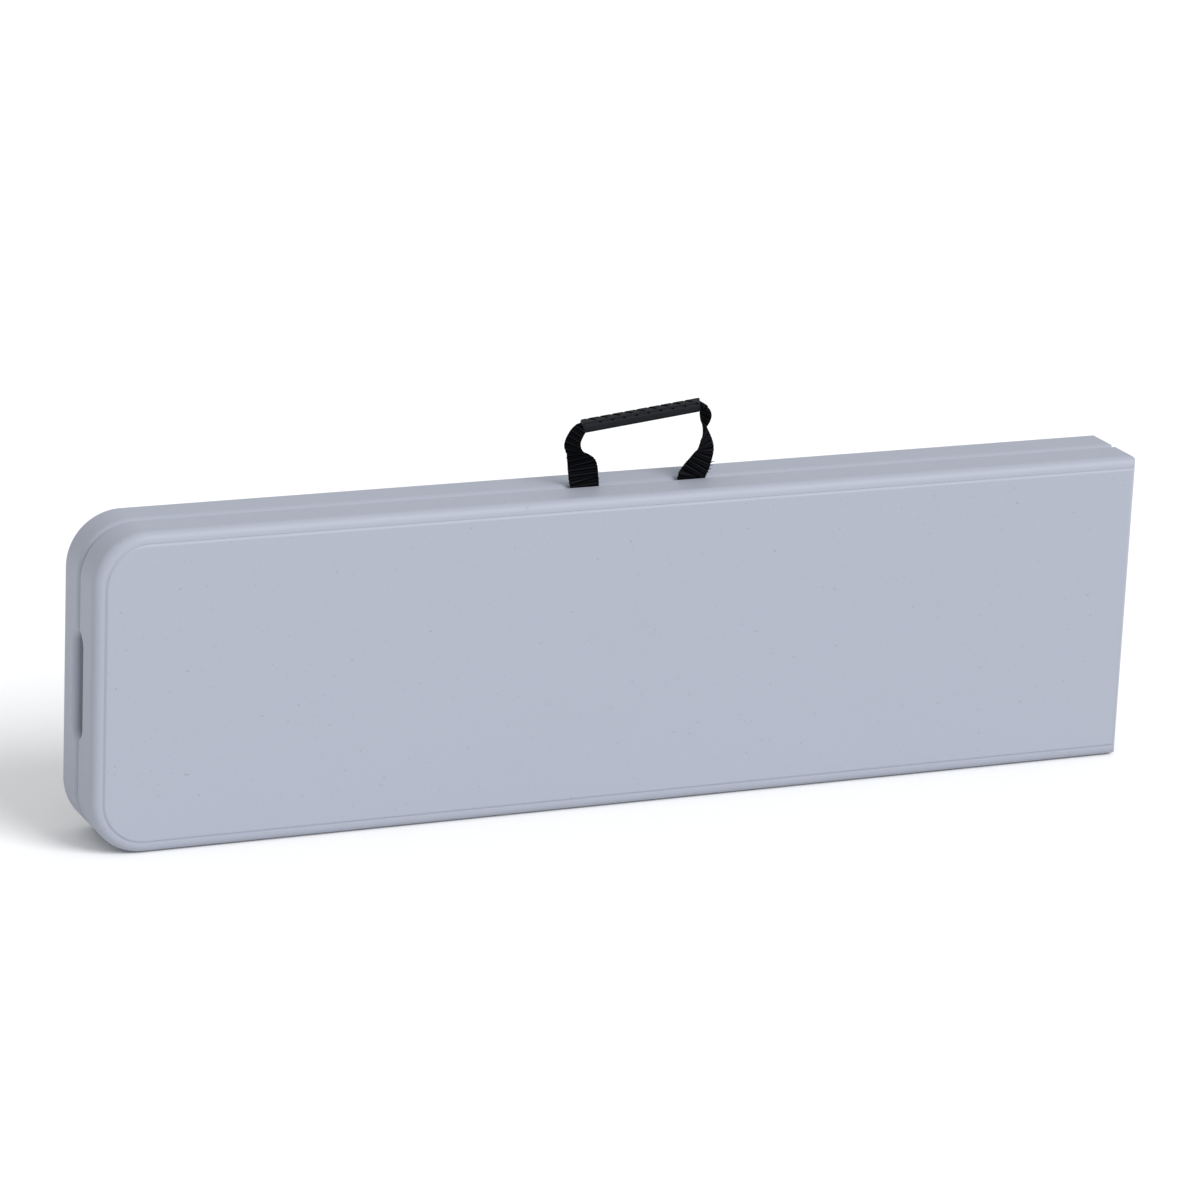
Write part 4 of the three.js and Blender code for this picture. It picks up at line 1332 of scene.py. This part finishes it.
@dataclass
class Handle:
    """The webbing strap with its moulded grip."""

    strap_places: tuple[float, float] = (-32.8, 60.9)
    strap_depth: float = 1.4
    tail_depth: float = 3.3
    strap_width: float = 25.0
    strap_thickness: float = 1.6
    folded_width: float = 12.6
    grip_width: float = 15.8
    grip_thickness: float = 8.6
    grip_start: tuple[float, float] = (-35.4, 49.5)
    grip_end: tuple[float, float] = (68.7, 61.0)
    grip_slants: tuple[float, float] = (3.5, 7.0)
    groove_count: int = 9
    groove_slant: float = 28.0
    thread_count: int = 14
    thread_seed: int = 7
    fine_step: float = 0.8
    route: list[tuple[float, float, float, float]] = field(default_factory=list)

    def __post_init__(self) -> None:
        """Sets the strap's route: place along X, height over the top edge, turn and width."""
        left, right = self.strap_places
        wide, folded = self.strap_width, self.folded_width
        self.route = [
            (left, -27, 0, wide),
            (left, -14, 0, wide),
            (left, 0.5, 0, wide),
            (left - 1.1, 6.5, -6.5, wide - 0.4),
            (left - 2.9, 17.3, -25, wide - 1.2),
            (left - 7, 25.2, -52, wide - 2.4),
            (left - 9.3, 28.3, -66, wide - 2),
            (left - 11.2, 32.2, -75, wide - 2.3),
            (left - 10.8, 38.9, -85, wide - 3),
            (left - 6.6, 46.1, -85, 18.1),
            (self.grip_start[0] + 2, self.grip_start[1] + 0.1, -90, folded),
            (0.0, 53.4, -90, folded),
            (self.grip_end[0] - 8, self.grip_end[1] - 0.9, -90, folded),
            (self.grip_end[0] - 0.6, self.grip_end[1] - 2.2, -89, folded + 1),
            (right + 9.6, 54.2, -87, wide - 7),
            (right + 9.3, 48.9, -93, wide - 5),
            (right + 8.3, 41.8, -111, wide - 2.5),
            (right + 9.9, 34.8, -128, wide - 2.6),
            (right + 10.8, 22.6, -151, wide - 2),
            (right + 6.8, 12.6, -167.5, wide - 1.8),
            (right + 1.9, 4.6, -178, wide - 1.4),
            (right, -0.5, -180, wide),
            (right, -14, -180, wide),
            (right, -27, -180, wide),
        ]

    def stations(self) -> list[tuple[Vector, float, float]]:
        """Runs a smooth curve through the route at an even fine step.

        Returns:
            Centre in millimetres, turn in radians and width at each step.
        """
        points = [Vector((x, rise + WIDTH, turn, width)) for x, rise, turn, width in self.route]
        padded = [2 * points[0] - points[1], *points, 2 * points[-1] - points[-2]]
        fine = []
        for index in range(1, len(padded) - 2):
            before, here, after, beyond = padded[index - 1 : index + 3]
            count = max(2, round((after.xy - here.xy).length / self.fine_step))
            for step in range(count):
                t = step / count
                fine.append(
                    0.5
                    * (
                        2 * here
                        + (after - before) * t
                        + (2 * before - 5 * here + 4 * after - beyond) * t**2
                        + (3 * here - before - 3 * after + beyond) * t**3
                    )
                )
        fine.append(points[-1])
        return [(Vector((p.x, -self.depth_at(p.y - WIDTH), p.y)), math.radians(p.z), p.w) for p in fine]

    def depth_at(self, rise: float) -> float:
        """How deep the strap lies behind the seam: under its anchor plate, or out at the seam.

        Args:
            rise: Height over the top edge, in millimetres.

        Returns:
            The depth, in millimetres.
        """
        share = min(max((rise + 11) / 8, 0.0), 1.0)
        eased = share * share * (3 - 2 * share)
        return self.tail_depth + (self.strap_depth - self.tail_depth) * eased

    def thickness_at(self, width: float) -> float:
        """The strap's thickness, which doubles where it is folded in half."""
        fold = (self.strap_width - 3 - width) / (self.strap_width - 3 - self.folded_width)
        return self.strap_thickness * (1 + min(max(fold, 0.0), 1.0))

    def section(self) -> list[tuple[float, float]]:
        """The strap's section as shares of half its width and half its thickness.

        Returns:
            Side and face of each point, once round.
        """
        across = [-1, -0.985, -0.93, -0.86, -0.6, -0.3, 0, 0.3, 0.6, 0.86, 0.93, 0.985, 1]
        bulge = [0.15, 0.72, 1, 0.84, 0.92, 0.95, 0.96, 0.95, 0.92, 0.84, 1, 0.72, 0.15]
        upper = list(zip(across, bulge))
        return upper + [(side, -face) for side, face in reversed(upper)]

    def strap(self) -> bpy.types.Object:
        """Sweeps the webbing along its route, with its own UV map in metres.

        Returns:
            The strap.
        """
        stations = self.stations()
        section = self.section()
        count = len(section)
        vertices, lengths, run = [], [], 0.0
        for index, (centre, turn, width) in enumerate(stations):
            before = stations[max(index - 1, 0)][0]
            after = stations[min(index + 1, len(stations) - 1)][0]
            travel = (after - before).normalized()
            flat = Vector((math.cos(turn), math.sin(turn), 0))
            across = (flat - travel * flat.dot(travel)).normalized()
            through = travel.cross(across)
            run += (centre - before).length if index else 0.0
            lengths.append(run * MM)
            pick_edge = 0.25 * math.sin(run * 2 * math.pi / WEBBING.rib_pitch)
            for side, face in section:
                reach = side * (width / 2 + (pick_edge if abs(side) > 0.95 else 0.0))
                point = centre + across * reach + through * face * self.thickness_at(width) / 2
                vertices.append(point * MM)
        last = (len(stations) - 1) * count
        faces = [
            (ring + i, ring + (i + 1) % count, ring + count + (i + 1) % count, ring + count + i)
            for ring in range(0, last, count)
            for i in range(count)
        ]
        faces += [tuple(reversed(range(count))), tuple(range(last, last + count))]
        mesh = bpy.data.meshes.new("handle_webbing")
        mesh.from_pydata(vertices, [], faces)
        self.lay_uv(mesh, lengths, count)
        strap = bpy.data.objects.new("handle_webbing", mesh)
        bpy.context.scene.collection.objects.link(strap)
        pick(strap)
        bpy.ops.object.mode_set(mode="EDIT")
        bpy.ops.mesh.select_all(action="SELECT")
        bpy.ops.mesh.normals_make_consistent(inside=False)
        close_edit()
        bpy.ops.object.shade_smooth_by_angle(angle=math.radians(50))
        return strap

    def lay_uv(self, mesh: bpy.types.Mesh, lengths: list[float], count: int) -> None:
        """Lays the weave's UV map: run along the strap and place across it, in metres.

        Args:
            mesh: The strap's mesh, made ring by ring.
            lengths: The run at each ring.
            count: Points in a ring.
        """
        section = self.section()
        layer = mesh.uv_layers.new(name="weave")
        for loop in mesh.loops:
            ring, spot = divmod(loop.vertex_index, count)
            side = section[spot][0] * self.strap_width / 2 * MM
            layer.data[loop.index].uv = (lengths[ring], side + self.strap_width * MM)

    def grip(self) -> bpy.types.Object:
        """Moulds the grip sleeve with its slanted finger grooves.

        Returns:
            The grip, tilted in place.
        """
        fall = self.grip_end[0] - self.grip_start[0]
        rise = self.grip_end[1] - self.grip_start[1]
        length = math.hypot(rise, fall)
        half_y, half_z = self.grip_width / 2, self.grip_thickness / 2
        start_slant, end_slant = self.grip_slants
        grip = block("handle_grip_moulding", (0, -half_y, -half_z), (length, half_y, half_z))
        choose_edges(grip, lambda a, b: min(a.x, b.x) > length - 1 and max(a.y, b.y) < 0)
        bpy.ops.transform.translate(value=(-end_slant * MM, 0, 0))
        close_edit()
        choose_edges(grip, lambda a, b: max(a.x, b.x) < 1 and max(a.y, b.y) < 0)
        bpy.ops.transform.translate(value=(-start_slant * MM, 0, 0))
        close_edit()
        soften(grip, lambda a, b: abs(a.x - b.x) > 10, 3.7, 8)
        soften(grip, lambda a, b: max(a.x, b.x) < 0.01 or min(a.x, b.x) > length - end_slant - 0.01, 1.3, 3)
        self.cut_grooves(grip, length)
        slot_y = self.folded_width / 2 + 0.4
        slot_z = self.strap_thickness + 0.35
        combine(grip, block("sleeve", (-6, -slot_y, -slot_z), (length + 2, slot_y, slot_z)))
        grip.rotation_euler = Euler((0, -math.atan2(rise, fall), 0))
        start_x, start_rise = self.grip_start
        grip.location = (start_x * MM, -self.strap_depth * MM, (WIDTH + start_rise) * MM)
        settle(grip)
        return smoothed(grip, 35)

    def cut_grooves(self, grip: bpy.types.Object, length: float) -> None:
        """Cuts the slanted grooves and the row of small marks into the top of the grip.

        Args:
            grip: The grip, lying along X.
            length: Its length in millimetres.
        """
        top = self.grip_thickness / 2
        pitch = (length - 10) / self.groove_count
        slant = math.radians(self.groove_slant)
        tools = []
        for index in range(self.groove_count):
            x = 7 + pitch * index
            groove = block("groove", (-1.6, -5.6, -1.9), (1.6, 7.5, 3))
            mark = block("mark", (-1.3, -0.75, -1.5), (1.3, 0.75, 1.5))
            soften(groove, lambda a, b: True, 0.8, 2)
            soften(mark, lambda a, b: True, 0.5, 2)
            groove.rotation_euler = Euler((0, 0, slant))
            groove.location = (x * MM, 2.2 * MM, top * MM)
            mark.rotation_euler = Euler((math.radians(45), 0, 0))
            mark.location = ((x + 4.4) * MM, (1.2 - self.grip_width / 2) * MM, (top - 1.2) * MM)
            for tool in (groove, mark):
                settle(tool)
                tools.append(tool)
        combine(grip, joined("grooves", tools))

    def threads(self) -> bpy.types.Object:
        """Loose threads at the strap's lower edges, as thin bent tubes.

        Returns:
            All the threads as one piece.
        """
        draw = random.Random(self.thread_seed)
        stations = self.stations()
        near_seam = [s for s in stations if 3 < s[0].z - WIDTH < 13 and s[0].x > 20]
        tufts = []
        for index in range(self.thread_count):
            centre, turn, width = draw.choice(near_seam)
            side = draw.choice((-1, 1))
            across = Vector((math.cos(turn), math.sin(turn), 0)) * side
            root = centre + across * (width / 2 - 0.4)
            deselect_all()
            bpy.ops.curve.primitive_bezier_curve_add()
            curve = bpy.context.object
            first, last = curve.data.splines[0].bezier_points
            reach = Vector((draw.uniform(1.8, 3.6) * math.copysign(1, across.x), 0, 0))
            swing = Vector((draw.uniform(-0.6, 0.6), draw.uniform(-0.3, 0.3), draw.uniform(-0.6, 1.4)))
            for point, place in ((first, root), (last, root + reach + swing)):
                point.handle_left_type = point.handle_right_type = "AUTO"
                point.co = place * MM
            curve.data.bevel_depth = 0.22 * MM
            curve.data.bevel_resolution = 2
            curve.data.resolution_u = 6
            curve.data.use_fill_caps = True
            bpy.ops.object.convert(target="MESH")
            tufts.append(named(f"thread_{index}"))
        return joined("strap_threads", tufts)

    def build(self) -> None:
        """Builds the handle's pieces."""
        strap = self.strap()
        dress(strap, WEBBING)
        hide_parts("handle_strap", "strap_tail_left", "strap_tail_right")
        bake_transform(strap)
        hand_over(self.grip(), GRIP_PLASTIC, "handle", "handle_grip")
        hand_over(self.threads(), THREAD, "handle")


# ---- CAD pieces that keep their shape ----


def dress_steel_parts() -> None:
    """Gives every CAD node that is still shown its zinc finish."""
    for name, node in frame["nodes"].items():
        if not node.hide_render:
            dress(node, ZINC)
            log.info("dressed %s", name)


# ---- Studio ----


@dataclass
class Studio:
    """Plain pale floor, soft light and the camera."""

    camera_place: tuple[float, float, float] = (-1633.3, -3658.2, 1377.6)
    heading: float = 23.872
    dip: float = 16.893
    roll: float = 2.465
    lens: float = 155.84
    world_light: float = 0.74
    key_light: float = 2.4
    key_direction: tuple[float, float, float] = (0.40, -0.70, 0.66)
    key_spread: float = 34.0

    def camera(self) -> None:
        """Adds the camera and makes it the scene's own."""
        data = bpy.data.cameras.new("camera")
        data.lens = self.lens
        data.sensor_width = 36.0
        data.clip_end = 50.0
        camera = bpy.data.objects.new("camera", data)
        bpy.context.scene.collection.objects.link(camera)
        upright = Euler((math.radians(90 - self.dip), 0, -math.radians(self.heading))).to_matrix()
        rolled = upright @ Matrix.Rotation(math.radians(self.roll), 3, "Z")
        camera.matrix_world = Matrix.Translation(Vector(self.camera_place) * MM) @ rolled.to_4x4()
        bpy.context.scene.camera = camera

    def floor(self) -> None:
        """Adds the floor, level with the table's lower edge."""
        deselect_all()
        bpy.ops.mesh.primitive_plane_add(size=40, location=(0, 0, -0.0005))
        floor = named("studio_floor")
        dress(floor, PAPER)

    def lights(self) -> None:
        """Adds an even white surround and a broad key from above the front."""
        world = bpy.data.worlds.new("studio")
        bpy.context.scene.world = world
        world.use_nodes = True
        tree = world.node_tree
        tree.nodes.clear()
        sheet = NodeSheet(tree)
        output = sheet.add("ShaderNodeOutputWorld")
        shown = sheet.add("ShaderNodeBackground", Color=(1, 1, 1, 1), Strength=1.05)
        lit = sheet.add("ShaderNodeBackground", Color=(0.98, 0.99, 1.0, 1), Strength=self.world_light)
        path = sheet.add("ShaderNodeLightPath")
        mix = sheet.add("ShaderNodeMixShader")
        sheet.link(path.outputs["Is Camera Ray"], mix.inputs[0])
        sheet.link(lit.outputs[0], mix.inputs[1])
        sheet.link(shown.outputs[0], mix.inputs[2])
        sheet.link(mix.outputs[0], output.inputs["Surface"])
        key = bpy.data.lights.new("key", "SUN")
        key.energy = self.key_light
        key.angle = math.radians(self.key_spread)
        light = bpy.data.objects.new("key", key)
        bpy.context.scene.collection.objects.link(light)
        light.rotation_euler = Vector(self.key_direction).to_track_quat("Z", "Y").to_euler()

    def build(self) -> None:
        """Sets the studio up."""
        bpy.context.scene.view_settings.view_transform = "Standard"
        self.camera()
        self.floor()
        self.lights()


def main() -> None:
    """Builds the studio, then the table's sub-assemblies in order."""
    Studio().build()
    MouldedTop().build()
    FoldingLeg().build()
    Brace().build()
    Handle().build()
    dress_steel_parts()
    deselect_all()


if __name__ == "__main__":
    main()
